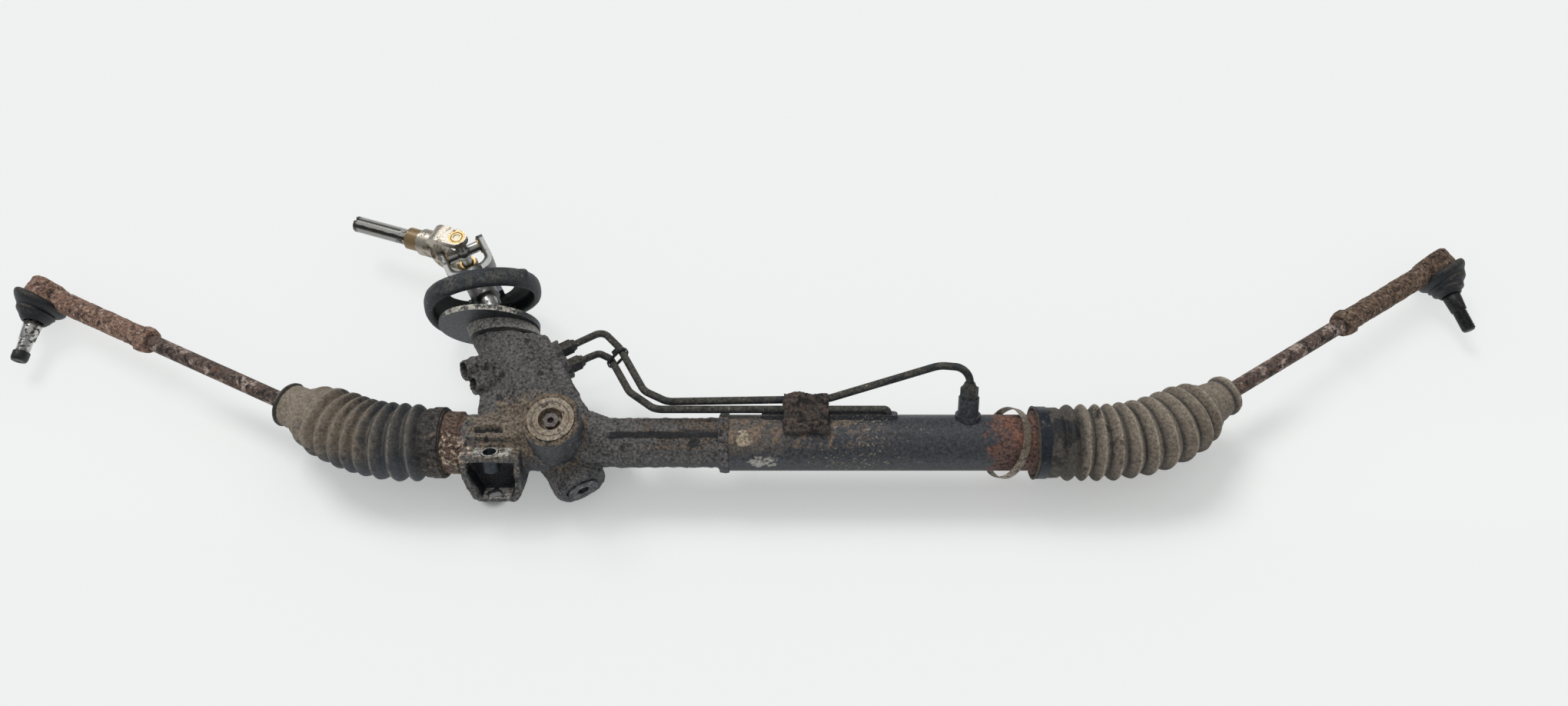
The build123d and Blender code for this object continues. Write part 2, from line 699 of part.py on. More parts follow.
def yoke_spring():
    low = YOKE_TOP - PLUG_LEN - 12.5 + SPRING_WIRE_R + 0.1
    high = YOKE_TOP - PLUG_LEN - SPRING_WIRE_R - 0.2
    path = Pos(0, 0, low) * Helix((high - low) / SPRING_TURNS, high - low, SPRING_R)
    section = Plane(origin=path @ 0, z_dir=path % 0) * Circle(SPRING_WIRE_R)
    return sweep(section, path, is_frenet=True)


def yoke_cover():
    low = YOKE_TOP - PLUG_LEN
    cover = rod(low, YOKE_TOP + 0.8, PLUG_R - FIT)
    cover -= rod(YOKE_TOP - PLUG_RECESS_DEEP, YOKE_TOP + 2, PLUG_RECESS_R)
    cover -= rod(low - 1, YOKE_TOP, 4.0 + FIT)
    return cover


def yoke_adjuster():
    low = YOKE_TOP - PLUG_LEN
    screw = rod(low, YOKE_TOP - PLUG_RECESS_DEEP, 4.0)
    screw += hexagon(YOKE_TOP - PLUG_RECESS_DEEP, YOKE_TOP - 1.5, ADJUSTER_FLATS)
    return screw - rod(YOKE_TOP - 6, YOKE_TOP, 2.5)


def dust_disc():
    plate = rod(-DISC_THICK / 2, DISC_THICK / 2, DISC_R)
    rim = rod(-DISC_THICK / 2, DISC_RIM - DISC_THICK / 2, DISC_R)
    rim -= rod(-DISC_THICK, DISC_RIM, DISC_R - 2)
    disc = DISC_FRAME.location * (plate + rim)
    return disc - on_pinion(rod(COVER_SPIGOT_FROM, COVER_TOP + 60, COVER_BOSS_R + GAP))


def bulkhead_seal():
    """Rubber ring for the bulkhead, askew, its tongue against the dust disc."""
    half = SEAL_HIGH / 2
    ring = turned(
        (
            (SEAL_R - SEAL_WALL, -half),
            (SEAL_R - 1.5, -half),
            (SEAL_R, 0),
            (SEAL_R - 1.5, half),
            (SEAL_LIP_R, half),
            (SEAL_LIP_R, half - 3),
            (SEAL_R - SEAL_WALL - 2, half - 3),
            (SEAL_R - SEAL_WALL, half - 6),
        )
    )
    nub = Rot(0, 0, 35) * Pos(SEAL_R - 1, 0, 0) * Rot(0, 90, 0) * Cylinder(3.5, 5)
    ring = SEAL_FRAME.location * (ring + nub)
    return ring + box(TONGUE_LOW, TONGUE_HIGH) - dust_disc_clearance()


def dust_disc_clearance():
    """The space that the dust disc needs where the seal leans on it."""
    thick = DISC_RIM / 2 + GAP
    middle = DISC_RIM / 2 - DISC_THICK / 2
    return DISC_FRAME.location * rod(middle - thick, middle + thick, DISC_R + GAP)


# Cylinder


def tube_normal(angle):
    """Direction out of the cylinder, turned up from the back."""
    return Vector(0, cos(radians(angle)), sin(radians(angle)))


def cylinder_port_frame():
    out = tube_normal(CYLINDER_PORT_ANGLE)
    return Plane(origin=(CYLINDER_PORT_AT, 0, 0), x_dir=(1, 0, 0), z_dir=out)


def duct_frame():
    out = tube_normal(CYLINDER_PORT_ANGLE)
    return Plane(origin=(0, 0, 0), x_dir=(1, 0, 0), z_dir=out)


def cylinder_tube():
    """Steel tube with its brazed port tower and the duct to the left chamber."""
    tube = along_x(TUBE_START, TUBE_END, TUBE_R)
    tower = rod(TUBE_R - 2, TUBE_R + PORT_TOWER_LEN, PORT_TOWER_R)
    tower += rod(TUBE_R - 2, TUBE_R + 3, PORT_TOWER_R + 2)
    tube += cylinder_port_frame().location * tower
    duct = box(
        (DUCT_START, -DUCT_WIDE / 2, TUBE_R - 3),
        (DUCT_END, DUCT_WIDE / 2, TUBE_R + DUCT_HIGH - GAP),
    )
    duct = fillet(duct.edges().filter_by(Axis.Z), 4)
    tube += duct_frame().location * duct
    tube -= along_x(TUBE_START - 1, TUBE_END + 1, TUBE_BORE_R)
    tube -= cylinder_port_frame().location * rod(0, TUBE_R + PORT_TOWER_LEN + 1, PIPE_R - 1)
    passage = Rot(0, 90, 0) * rod(DUCT_START + 8, DUCT_END - 8, 1.4)
    tube -= duct_frame().location * Pos(0, 0, TUBE_R + 1.2) * passage
    tube -= duct_frame().location * Pos(DUCT_START + 8, 0, 0) * rod(0, TUBE_R + 2, 1.4)
    tube -= duct_frame().location * Pos(DUCT_END - 8, 0, 0) * rod(TUBE_R, TUBE_R + DUCT_HIGH, PIPE_R - 1)
    return tube


def end_cap():
    """Turned ring on the tube's right end that the bellows grips."""
    start = TUBE_END + END_CAP_OVER - END_CAP_LEN
    cap = along_x(start, TUBE_END + END_CAP_OVER, END_CAP_R)
    cap -= along_x(start - 1, TUBE_END, TUBE_R + FIT)
    cap -= along_x(TUBE_END - 1, TUBE_END + END_CAP_OVER + 1, TUBE_BORE_R)
    return cap


def end_bush():
    bush = along_x(BUSH_START, BUSH_START + BUSH_LEN, TUBE_BORE_R - FIT)
    groove = along_x(BUSH_START + 4, BUSH_START + 8, TUBE_BORE_R) - along_x(
        BUSH_START + 3, BUSH_START + 9, TUBE_BORE_R - 2
    )
    return bush - groove - along_x(BUSH_START - 1, BUSH_START + BUSH_LEN + 1, BAR_R + RUN)


def rack_seal():
    start = TUBE_START + 7 + FIT
    end = TUBE_START + SPIGOT_LEN
    ring = along_x(start, end, YOKE_R - FIT)
    ring -= along_x(end - 5, end + 1, YOKE_R - 1.5) - along_x(end - 6, end + 2, BAR_R + 1.5)
    return ring - along_x(start - 1, end + 1, BAR_R + RUN)


def piston():
    start = PISTON_AT - PISTON_LEN / 2
    end = PISTON_AT + PISTON_LEN / 2
    body = along_x(start, end, PISTON_R) - along_x(start - 1, end + 1, BAR_R + FIT)
    half = PISTON_RING_LEN / 2 + FIT
    groove = along_x(PISTON_AT - half, PISTON_AT + half, PISTON_R + 1)
    return body - (groove - along_x(start, end, PISTON_R - PISTON_RING_DEEP - FIT))


def piston_ring():
    half = PISTON_RING_LEN / 2
    ring = along_x(PISTON_AT - half, PISTON_AT + half, TUBE_BORE_R - RUN)
    return ring - along_x(PISTON_AT - PISTON_LEN, PISTON_AT + PISTON_LEN, PISTON_R - PISTON_RING_DEEP)


def loose_band():
    """Steel bellows band that has slipped onto the tube and hangs askew."""
    half = BAND_WIDTH / 2
    ring = rod(-half, half, BAND_R + BAND_THICK) - rod(-half - 1, half + 1, BAND_R)
    return Pos(BAND_AT, 0, -0.3) * Rot(0, 90 + BAND_TILT, 0) * ring


# Pipes


def port_point(height, out):
    return port_frame(height).origin + ACROSS_DIR * out


def row_point(x, beside):
    """Point in the pipe row over the tube, a distance behind the duct line."""
    above = tube_normal(CYLINDER_PORT_ANGLE) * PIPE_ROW
    return duct_frame().origin + Vector(x, beside, 0) + above


def pipe(points, radii):
    path = FilletPolyline(*points, radius=radii)
    section = Plane(origin=path @ 0, z_dir=path % 0) * Circle(PIPE_R)
    return sweep(section, path)


def pipe_a_points():
    tower = cylinder_port_frame()
    top = TUBE_R + PORT_TOWER_LEN
    start = [port_point(PORT_A_AT, PORT_OUT + FIT), port_point(PORT_A_AT, PORT_OUT + PIPE_A_NUT_OUT)]
    bends = [Vector(*bend) for bend in PIPE_A_BENDS]
    row = [row_point(x, beside) for x, beside in PIPE_A_ROW]
    end = [tower.origin + tower.z_dir * (top + PIPE_A_DROP), tower.origin + tower.z_dir * (top + FIT)]
    return start + bends + row + [Vector(*PIPE_A_RISE)] + end


def pipe_b_points():
    start = [port_point(PORT_B_AT, PORT_OUT + FIT), port_point(PORT_B_AT, PORT_OUT + PIPE_B_NUT_OUT)]
    bends = [Vector(*bend) for bend in PIPE_B_BENDS]
    over_duct = row_point(DUCT_END - 8, 0)
    into_duct = over_duct - tube_normal(CYLINDER_PORT_ANGLE) * (PIPE_R + GAP - FIT)
    return start + bends + [row_point(PIPE_B_ROW_AT, 0), over_duct, into_duct]


def transfer_pipe_a():
    return pipe(pipe_a_points(), PIPE_A_RADII)


def transfer_pipe_b():
    return pipe(pipe_b_points(), PIPE_B_RADII)


def nut_shape():
    nut = hexagon(0, NUT_LEN, NUT_FLATS) + taper(NUT_LEN, NUT_LEN + 4, NUT_FLATS / 2 - 0.6, PIPE_R + 1.2)
    return nut - rod(-1, NUT_LEN + 5, PIPE_R + FIT)


def pipe_nuts():
    """Union nuts of the two valve ports and of the cylinder port."""
    tower = cylinder_port_frame()
    top = Pos(0, 0, TUBE_R + PORT_TOWER_LEN + FIT)
    out = Pos(0, 0, PORT_OUT + FIT)
    places = [port_frame(height).location * out for height in (PORT_A_AT, PORT_B_AT)]
    places.append(tower.location * top)
    return Compound([place * nut_shape() for place in places])


def pipe_clamp():
    """Block that holds both pipes down on the cylinder."""
    block = box((CLAMP_START, CLAMP_FRONT, CLAMP_LOW), (CLAMP_END, CLAMP_BACK, CLAMP_HIGH))
    block = fillet(block.edges().filter_by(Axis.X), 2)
    block -= along_x(CLAMP_START - 1, CLAMP_END + 1, TUBE_R + GAP)
    slot = box(
        (DUCT_START, -DUCT_WIDE / 2 - GAP, 0),
        (DUCT_END, DUCT_WIDE / 2 + GAP, PIPE_ROW),
    )
    block -= duct_frame().location * slot
    for start, end in (pipe_a_points()[5:7], pipe_b_points()[5:7]):
        course = end - start
        hole = rod(0, course.length + 12, PIPE_R + GAP)
        block -= Plane(origin=start, z_dir=course).location * hole
    return block


def zip_tie():
    """Plastic tie round both pipes."""
    a_from, a_to = pipe_a_points()[3:5]
    b_from, b_to = pipe_b_points()[3:5]
    on_a = a_from + (a_to - a_from) * 0.12
    on_b = b_from + (b_to - b_from) * 0.12
    course = ((a_to - a_from).normalized() + (b_to - b_from).normalized()).normalized()
    across = on_a - on_b
    across = across - course * across.dot(course)
    frame = Plane(origin=(on_a + on_b) * 0.5, x_dir=across, z_dir=course)
    inner = SlotCenterToCenter(across.length, 2 * (PIPE_R + 0.7))
    outer = SlotCenterToCenter(across.length, 2 * (PIPE_R + 1.9))
    loop = extrude(outer - inner, 1.3, both=True)
    head = Pos(across.length / 4, PIPE_R + 3.2, 0) * Box(4.5, 3.4, 4.5)
    return frame.location * (loop + head)


# Universal joint


def yoke_fork():
    """Fork whose arms lie on X; its hub points down -Z."""
    width = 2 * EAR_OUT
    front = make_face(
        Polyline(
            (-EAR_OUT, 0, EAR_R),
            (EAR_OUT, 0, EAR_R),
            (EAR_OUT, 0, -YOKE_BASE),
            (-EAR_OUT, 0, -YOKE_BASE),
            close=True,
        )
    )
    blank = extrude(front, EAR_R, both=True)
    corners = blank.edges().filter_by(Axis.Y).group_by(Axis.Z)[0]
    blank = fillet(corners, 13)
    hollow = box((-EAR_IN, -width, -CROTCH), (EAR_IN, width, EAR_R + 1))
    blank -= fillet(hollow.edges().filter_by(Axis.Y).group_by(Axis.Z)[0], 8)
    side = Rot(0, 90, 0) * Cylinder(EAR_R, width + 2)
    side += box((-width, -EAR_R, -YOKE_BASE - 1), (width, EAR_R, 0))
    blank &= side
    return blank - Rot(0, 90, 0) * Cylinder(CUP_R, width + 2)


def lower_yoke():
    fork = yoke_fork()
    hub_end = -YOKE_BASE - HUB_LEN
    fork += rod(hub_end, -CROTCH - 3, HUB_R)
    fork += box((-PINCH_HALF, 0, hub_end + 4), (PINCH_HALF, PINCH_OUT + PINCH_R + 4, hub_end + 18))
    fork -= rod(hub_end - 1, -YOKE_BASE + 1 + GAP, SPLINE_R + FIT)
    fork -= box((-1, 0, hub_end - 1), (1, 2 * PINCH_OUT, -YOKE_BASE))
    bolt_hole = Pos(0, PINCH_OUT, hub_end + 11) * Rot(0, 90, 0) * Cylinder(PINCH_R + FIT, 40)
    return LOWER_YOKE_FRAME.location * (fork - bolt_hole)


def pinch_bolt():
    hub_end = -YOKE_BASE - HUB_LEN
    bolt = rod(-PINCH_HALF - 4, PINCH_HALF + FIT, PINCH_R) + hexagon(PINCH_HALF + FIT, PINCH_HALF + 6, 12)
    place = Pos(0, PINCH_OUT, hub_end + 11) * Rot(0, 90, 0)
    return LOWER_YOKE_FRAME.location * place * bolt


def bearing_cups(frame):
    cup = rod(CUP_IN, EAR_OUT, CUP_R - FIT) - rod(CUP_IN - 1, ARM_LEN + RUN, ARM_R + RUN)
    cup -= rod(EAR_OUT - 0.8, EAR_OUT + 1, 3.5)
    return Compound([frame.location * Rot(0, side, 0) * cup for side in (90, -90)])


def joint_cross():
    arm = Cylinder(ARM_R, 2 * ARM_LEN)
    cross = LOWER_YOKE_FRAME.location * Rot(0, 90, 0) * arm
    cross += UPPER_YOKE_FRAME.location * Rot(0, 90, 0) * arm
    return cross + Pos(CROSS_CENTRE) * Sphere(ARM_R + 2.5)


def upper_yoke():
    fork = yoke_fork()
    hub_end = -YOKE_BASE - HUB_LEN
    fork += rod(hub_end + SHAFT_HUB_LEN, -CROTCH - 3, HUB_R)
    fork += rod(hub_end, hub_end + SHAFT_HUB_LEN + 1, SHAFT_HUB_R)
    fork -= rod(hub_end - 1, -YOKE_BASE - 1, SHAFT_SEAT_R + FIT)
    return UPPER_YOKE_FRAME.location * fork


def column_shaft():
    """Shaft end with a key groove, stepped down where the yoke holds it."""
    hub_end = -YOKE_BASE - HUB_LEN
    shaft = rod(-SHAFT_LEN, hub_end, SHAFT_R)
    shaft += rod(hub_end, -YOKE_BASE - 1.5, SHAFT_SEAT_R)
    groove_low = (SHAFT_R - KEY_DEEP, -KEY_WIDTH / 2, -SHAFT_LEN - 1)
    groove_high = (SHAFT_R + 1, KEY_WIDTH / 2, hub_end - KEY_SHORT)
    shaft -= box(groove_low, groove_high)
    return UPPER_YOKE_FRAME.location * shaft


# Tie rods


class Side:
    """One end of the rack: where its joints lie and which way they point."""

    def __init__(self, name, outward, pivot, length, swing, stud_tilt, small_at):
        self.name = name
        self.outward = outward
        self.pivot = Vector(pivot, 0, 0)
        swing, droop = radians(swing), radians(ROD_DROOP)
        self.rod_dir = Vector(outward * cos(swing) * cos(droop), sin(swing) * cos(droop), -sin(droop))
        level = Vector(outward * sin(swing), -cos(swing), 0)
        lean = level * cos(radians(STUD_DROOP)) + Vector(0, 0, -sin(radians(STUD_DROOP)))
        self.cup_dir = (lean - self.rod_dir * lean.dot(self.rod_dir)).normalized()
        self.sleeve_at = length - END_LEN
        self.length = length
        self.small_at = small_at
        self.ball = self.pivot + self.rod_dir * length + self.cup_dir * CUP_OFFSET
        self.tilt_axis = self.rod_dir.cross(self.cup_dir).normalized()
        tilt = radians(stud_tilt)
        self.stud_dir = (self.cup_dir * cos(tilt) + self.rod_dir * -sin(tilt)).normalized()
        self.socket_frame = Plane(origin=self.pivot, z_dir=(outward, 0, 0))
        self.rod_frame = Plane(origin=self.pivot, x_dir=self.cup_dir, z_dir=self.rod_dir)
        self.cup_frame = Plane(origin=self.ball, x_dir=self.rod_dir, z_dir=self.cup_dir)
        self.stud_frame = Plane(origin=self.ball, x_dir=self.tilt_axis, z_dir=self.stud_dir)


SIDES = (
    Side("left", -1, PIVOT_LEFT, LEFT_LEN, LEFT_SWING, LEFT_STUD_TILT, LEFT_SMALL_AT),
    Side("right", 1, PIVOT_RIGHT, RIGHT_LEN, RIGHT_SWING, RIGHT_STUD_TILT, RIGHT_SMALL_AT),
)


def inner_socket(side):
    socket = rod(-SOCKET_BACK, SOCKET_LIP, SOCKET_R)
    socket += rod(-SOCKET_BACK - BAR_THREAD_LEN, -SOCKET_BACK, BAR_THREAD_R - FIT)
    socket -= Sphere(INNER_SEAT_R + RUN)
    for flat in (0, 180):
        cut = box((SOCKET_R - 1.8, -SOCKET_R, -SOCKET_BACK - 1), (SOCKET_R + 1, SOCKET_R, -SOCKET_BACK + 9))
        socket -= Rot(0, 0, flat) * cut
    return side.socket_frame.location * socket


def ball_seat(ball_r, mouth):
    """Plastic liner: a thin ball shell with a conical opening towards +Z."""
    shell = Sphere(ball_r + SEAT_WALL) - Sphere(ball_r + RUN)
    high = 2 * ball_r
    shell -= taper(0, high, 0.01, high * tan(radians(mouth)))
    return shell - rod(-high, 0, ball_r / 3)


def inner_seat(side):
    return side.rod_frame.location * ball_seat(INNER_BALL_R, SEAT_MOUTH)


def tie_rod(side):
    bar = Sphere(INNER_BALL_R) + rod(0, NECK_LEN, NECK_R)
    bar += taper(NECK_LEN, NECK_LEN + 6, NECK_R, ROD_R)
    bar += rod(NECK_LEN + 6, ROD_END, ROD_R)
    return side.rod_frame.location * bar


def lock_nut(side):
    start = side.sleeve_at - LOCK_NUT_LEN
    nut = hexagon(start, side.sleeve_at - FIT, LOCK_NUT_FLATS)
    nut &= taper(start, side.sleeve_at, LOCK_NUT_FLATS / 2, LOCK_NUT_FLATS / 2 + 4)
    return side.rod_frame.location * (nut - rod(start - 1, side.sleeve_at + 1, ROD_R + FIT))


def outer_end(side):
    """Forged end: a threaded sleeve that runs into the ball's cup."""
    sleeve = rod(side.sleeve_at, side.length - OUTER_BALL_R, END_SLEEVE_R)
    sleeve -= rod(side.sleeve_at - 1, ROD_END + BORE_SPARE, ROD_R + FIT)
    end = side.rod_frame.location * sleeve
    cup = rod(-CUP_BACK + CUP_BEVEL, CUP_LIP, CUP_HOUSING_R)
    cup += taper(-CUP_BACK, -CUP_BACK + CUP_BEVEL, CUP_HOUSING_R - CUP_BEVEL, CUP_HOUSING_R)
    end += side.cup_frame.location * cup
    return end - side.cup_frame.location * Sphere(OUTER_SEAT_R + RUN)


def outer_seat(side):
    return side.stud_frame.location * ball_seat(OUTER_BALL_R, OUTER_SEAT_MOUTH)


def ball_stud(side):
    stud = Sphere(OUTER_BALL_R) + rod(0, STUD_TAPER_START, STUD_NECK_R)
    stud += taper(STUD_TAPER_START, STUD_TAPER_END, STUD_TAPER_R, STUD_THREAD_R + 0.6)
    stud += rod(STUD_TAPER_END, STUD_LEN, STUD_THREAD_R)
    return side.stud_frame.location * stud


def dust_boot(side):
    """Rubber boot from the cup's rim to the stud's neck."""

    def skin(cup_r, cup_at, stud_r, stud_at):
        rim = side.cup_frame.location * Pos(0, 0, cup_at) * Circle(cup_r)
        neck = side.stud_frame.location * Pos(0, 0, stud_at) * Circle(stud_r)
        return loft([rim, neck])

    lip = CUP_LIP + GAP
    outer = side.cup_frame.location * rod(CUP_LIP - 1, lip + 1.5, BOOT_R)
    outer += skin(BOOT_R - 1, lip + 1.4, STUD_TAPER_R + 2.5, STUD_TAPER_START - 1)
    inner = side.cup_frame.location * rod(0, lip, CUP_HOUSING_R + GAP)
    inner += skin(CUP_HOUSING_R + GAP, lip - 0.1, STUD_NECK_R + GAP, STUD_TAPER_START)
    return outer - inner


# Bellows


def bellows_form(side, cuff_from, inset):
    """Envelope of a bellows, drawn in by inset, from its cuff to its small end."""
    radius = BELLOWS_R - inset
    form = side.socket_frame.location * rod(cuff_from, 0, radius)
    form += side.socket_frame.location * Sphere(radius)
    shoulder = side.small_at - SHOULDER_LEN
    form += side.rod_frame.location * rod(0, shoulder, radius)
    small = BELLOWS_SMALL_R - inset
    form += side.rod_frame.location * taper(shoulder, side.small_at, radius, small)
    return form


def bellows(side):
    """Rubber bellows between the housing end and the tie rod."""
    end_x, end_r = housing_end(side)
    cuff = (end_x - side.pivot.X) * side.outward
    cuff_from = cuff - CUFF_OVER
    small_end = side.small_at + SMALL_END_LEN
    body = bellows_form(side, cuff + BELLOWS_WALL, 0)
    cuff_r = end_r + GAP + BELLOWS_WALL
    body += side.socket_frame.location * rod(cuff_from, cuff + CUFF_LEN - CUFF_OVER, cuff_r)
    body += side.rod_frame.location * rod(side.small_at - 1, small_end, BELLOWS_SMALL_R)
    body += side.rod_frame.location * taper(small_end - RIM_LEN, small_end, BELLOWS_SMALL_R, RIM_R)
    inner = bellows_form(side, cuff + 2 * BELLOWS_WALL, BELLOWS_WALL)
    inner += side.socket_frame.location * rod(cuff_from - 1, cuff + GAP, end_r + GAP)
    inner += side.socket_frame.location * rod(cuff, cuff + 3 * BELLOWS_WALL, end_r - 2)
    inner += side.rod_frame.location * rod(side.small_at - 4, small_end + 1, ROD_R + GAP)
    return body - inner


def housing_end(side):
    """Where the housing ends on this side, and its outer radius there."""
    if side.outward < 0:
        return HOUSING_LEFT, LEFT_END_R
    return TUBE_END + END_CAP_OVER, END_CAP_R


def band_clamp(side):
    end_x, end_r = housing_end(side)
    inner_r = end_r + GAP + BELLOWS_WALL + FIT
    cuff = (end_x - side.pivot.X) * side.outward - CUFF_OVER
    ring = rod(cuff + 1, cuff + 1 + CLAMP_WIDTH, inner_r + CLAMP_THICK)
    ring -= rod(cuff, cuff + 2 + CLAMP_WIDTH, inner_r)
    return side.socket_frame.location * ring


# The whole rack, placed and written


def all_parts():
    """Every node, in the rack frame or, for the tie rods, on the floor."""
    rolled = {
        "rack_housing": rack_housing(),
        "mount_bush": mount_bush(),
        "valve_cover": valve_cover(),
        "input_seal": input_seal(),
        "yoke_cover": yoke_cover(),
        "yoke_adjuster": yoke_adjuster(),
        "yoke_spring": yoke_spring(),
        "rack_guide": rack_guide(),
        "pinion_cap": pinion_cap(),
        "lower_bearing": lower_bearing(),
        "upper_bearing_outer": upper_bearing_outer(),
        "upper_bearing_inner": upper_bearing_inner(),
        "dust_disc": dust_disc(),
        "bulkhead_seal": bulkhead_seal(),
        "cylinder_tube": cylinder_tube(),
        "end_cap": end_cap(),
        "end_bush": end_bush(),
        "rack_seal": rack_seal(),
        "transfer_pipe_a": transfer_pipe_a(),
        "transfer_pipe_b": transfer_pipe_b(),
        "pipe_nuts": pipe_nuts(),
        "pipe_clamp": pipe_clamp(),
        "zip_tie": zip_tie(),
        "loose_band": loose_band(),
        "pinion": pinion(),
        "valve_sleeve": valve_sleeve(),
        "torsion_bar": torsion_bar(),
        "input_shaft": input_shaft(),
        "lower_yoke": lower_yoke(),
        "pinch_bolt": pinch_bolt(),
        "lower_cups": bearing_cups(LOWER_YOKE_FRAME),
        "joint_cross": joint_cross(),
        "upper_cups": bearing_cups(UPPER_YOKE_FRAME),
        "upper_yoke": upper_yoke(),
        "column_shaft": column_shaft(),
        "rack_bar": rack_bar(),
        "piston": piston(),
        "piston_ring": piston_ring(),
    }
    level = {}
    for side in SIDES:
        level[f"inner_socket_{side.name}"] = inner_socket(side)
        level[f"inner_seat_{side.name}"] = inner_seat(side)
        level[f"tie_rod_{side.name}"] = tie_rod(side)
        level[f"lock_nut_{side.name}"] = lock_nut(side)
        level[f"outer_end_{side.name}"] = outer_end(side)
        level[f"outer_seat_{side.name}"] = outer_seat(side)
        level[f"ball_stud_{side.name}"] = ball_stud(side)
        level[f"dust_boot_{side.name}"] = dust_boot(side)
        level[f"bellows_{side.name}"] = bellows(side)
        level[f"band_clamp_{side.name}"] = band_clamp(side)
    return rolled, level


def bolt_middle():
    """Middle of the bolt's bore in the rack frame."""
    middle = (BRACKET_TOP + BRACKET_FOOT - FLANGE_THICK) / 2
    return (BOLT_FRAME.location * Pos(0, -BOLT_OUT, middle)).position


TO_FLOOR = Rot(ROLL, 0, 0)
ORIGIN = (TO_FLOOR * Pos(bolt_middle())).position
PLACE_LEVEL = Pos(-ORIGIN)
PLACE_ROLLED = PLACE_LEVEL * TO_FLOOR


def main():
    os.makedirs("parts", exist_ok=True)
    rolled, level = all_parts()
    for name, shape in rolled.items():
        export_step(PLACE_ROLLED * shape, f"parts/{name}.step")
    for name, shape in level.items():
        export_step(PLACE_LEVEL * shape, f"parts/{name}.step")


if __name__ == "__main__":
    main()
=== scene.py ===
import bpy
import numpy as np
from math import acos, cos, exp, pi, radians, sin, tan
from mathutils import Matrix, Vector, noise


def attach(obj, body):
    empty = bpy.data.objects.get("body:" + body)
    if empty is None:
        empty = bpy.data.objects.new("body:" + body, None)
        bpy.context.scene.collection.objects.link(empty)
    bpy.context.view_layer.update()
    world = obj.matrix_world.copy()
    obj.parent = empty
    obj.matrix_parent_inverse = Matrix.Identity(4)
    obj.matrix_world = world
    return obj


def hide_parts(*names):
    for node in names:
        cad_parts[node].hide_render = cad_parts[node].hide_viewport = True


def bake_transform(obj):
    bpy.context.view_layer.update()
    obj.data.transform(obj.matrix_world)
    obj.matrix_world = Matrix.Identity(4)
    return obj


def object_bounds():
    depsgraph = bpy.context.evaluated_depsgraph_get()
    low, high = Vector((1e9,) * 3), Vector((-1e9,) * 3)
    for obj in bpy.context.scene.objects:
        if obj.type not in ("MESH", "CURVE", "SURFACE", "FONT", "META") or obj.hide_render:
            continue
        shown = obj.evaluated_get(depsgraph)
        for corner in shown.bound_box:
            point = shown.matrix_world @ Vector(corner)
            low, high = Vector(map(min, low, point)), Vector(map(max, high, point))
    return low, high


# A used power steering rack on a pale floor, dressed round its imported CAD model.
# Sizes below are in millimetres and are turned to metres where a mesh is made.

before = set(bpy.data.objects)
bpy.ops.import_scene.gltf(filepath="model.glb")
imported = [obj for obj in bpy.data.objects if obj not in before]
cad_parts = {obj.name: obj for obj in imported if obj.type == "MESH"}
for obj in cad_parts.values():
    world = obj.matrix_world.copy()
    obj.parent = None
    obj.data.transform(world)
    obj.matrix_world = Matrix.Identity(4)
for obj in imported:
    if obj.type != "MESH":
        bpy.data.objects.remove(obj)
cad_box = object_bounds()
EDGE = 1e-5  # made pieces stay this many metres inside the CAD model's box
inside = [np.array(cad_box[0]) + EDGE, np.array(cad_box[1]) - EDGE]

MM = 0.001
ORIGIN = Vector((-52.0, -30.122, 2.291))  # the record's origin, seen from the pinion crossing
ROLL = radians(3.0)
FLOOR_Z = -54.7
LEVEL = Matrix.Scale(MM, 4) @ Matrix.Translation(-ORIGIN)  # floor millimetres to record metres
ROLLED = LEVEL @ Matrix.Rotation(ROLL, 4, "X")  # rack millimetres to record metres


# Colours and materials

UP = (0.0, 0.0, 1.0)
ALONG = (1.0, 0.0, 0.0)
BACK = (0.0, 1.0, 0.0)
WHOLE = (0, 0, 0)  # a layer without patches of its own
COVERED = 0.2  # share of a metal's shine left under a layer
LUMPY = {"Detail": 4.0, "Roughness": 0.6}  # noise of patches, ragged edges and relief
GRAINY = {"Detail": 3.0, "Roughness": 0.7}  # grit, drawn 2 to 3 mm across so that it shows
SMOOTH = {"interpolation_type": "SMOOTHSTEP"}
RAG_SIZE, RAG_LOW, RAG_HIGH = 9.0, 0.25, 0.75
GRIT_LOW, GRIT_HIGH = 0.34, 0.66


def colour(code):
    """Linear colour of an sRGB hex value."""
    parts = [int(code[n : n + 2], 16) / 255 for n in (1, 3, 5)]
    return [p / 12.92 if p <= 0.04045 else ((p + 0.055) / 1.055) ** 2.4 for p in parts] + [1.0]


def add(tree, kind, links=None, out=0, **settings):
    """Adds a node with its settings, sets or links its inputs, and returns one output."""
    made = tree.nodes.new(kind)
    for name, value in settings.items():
        setattr(made, name, value)
    for key, value in (links or {}).items():
        if isinstance(value, bpy.types.NodeSocket):
            tree.links.new(value, made.inputs[key])
        else:
            made.inputs[key].default_value = value
    return made.outputs[out]


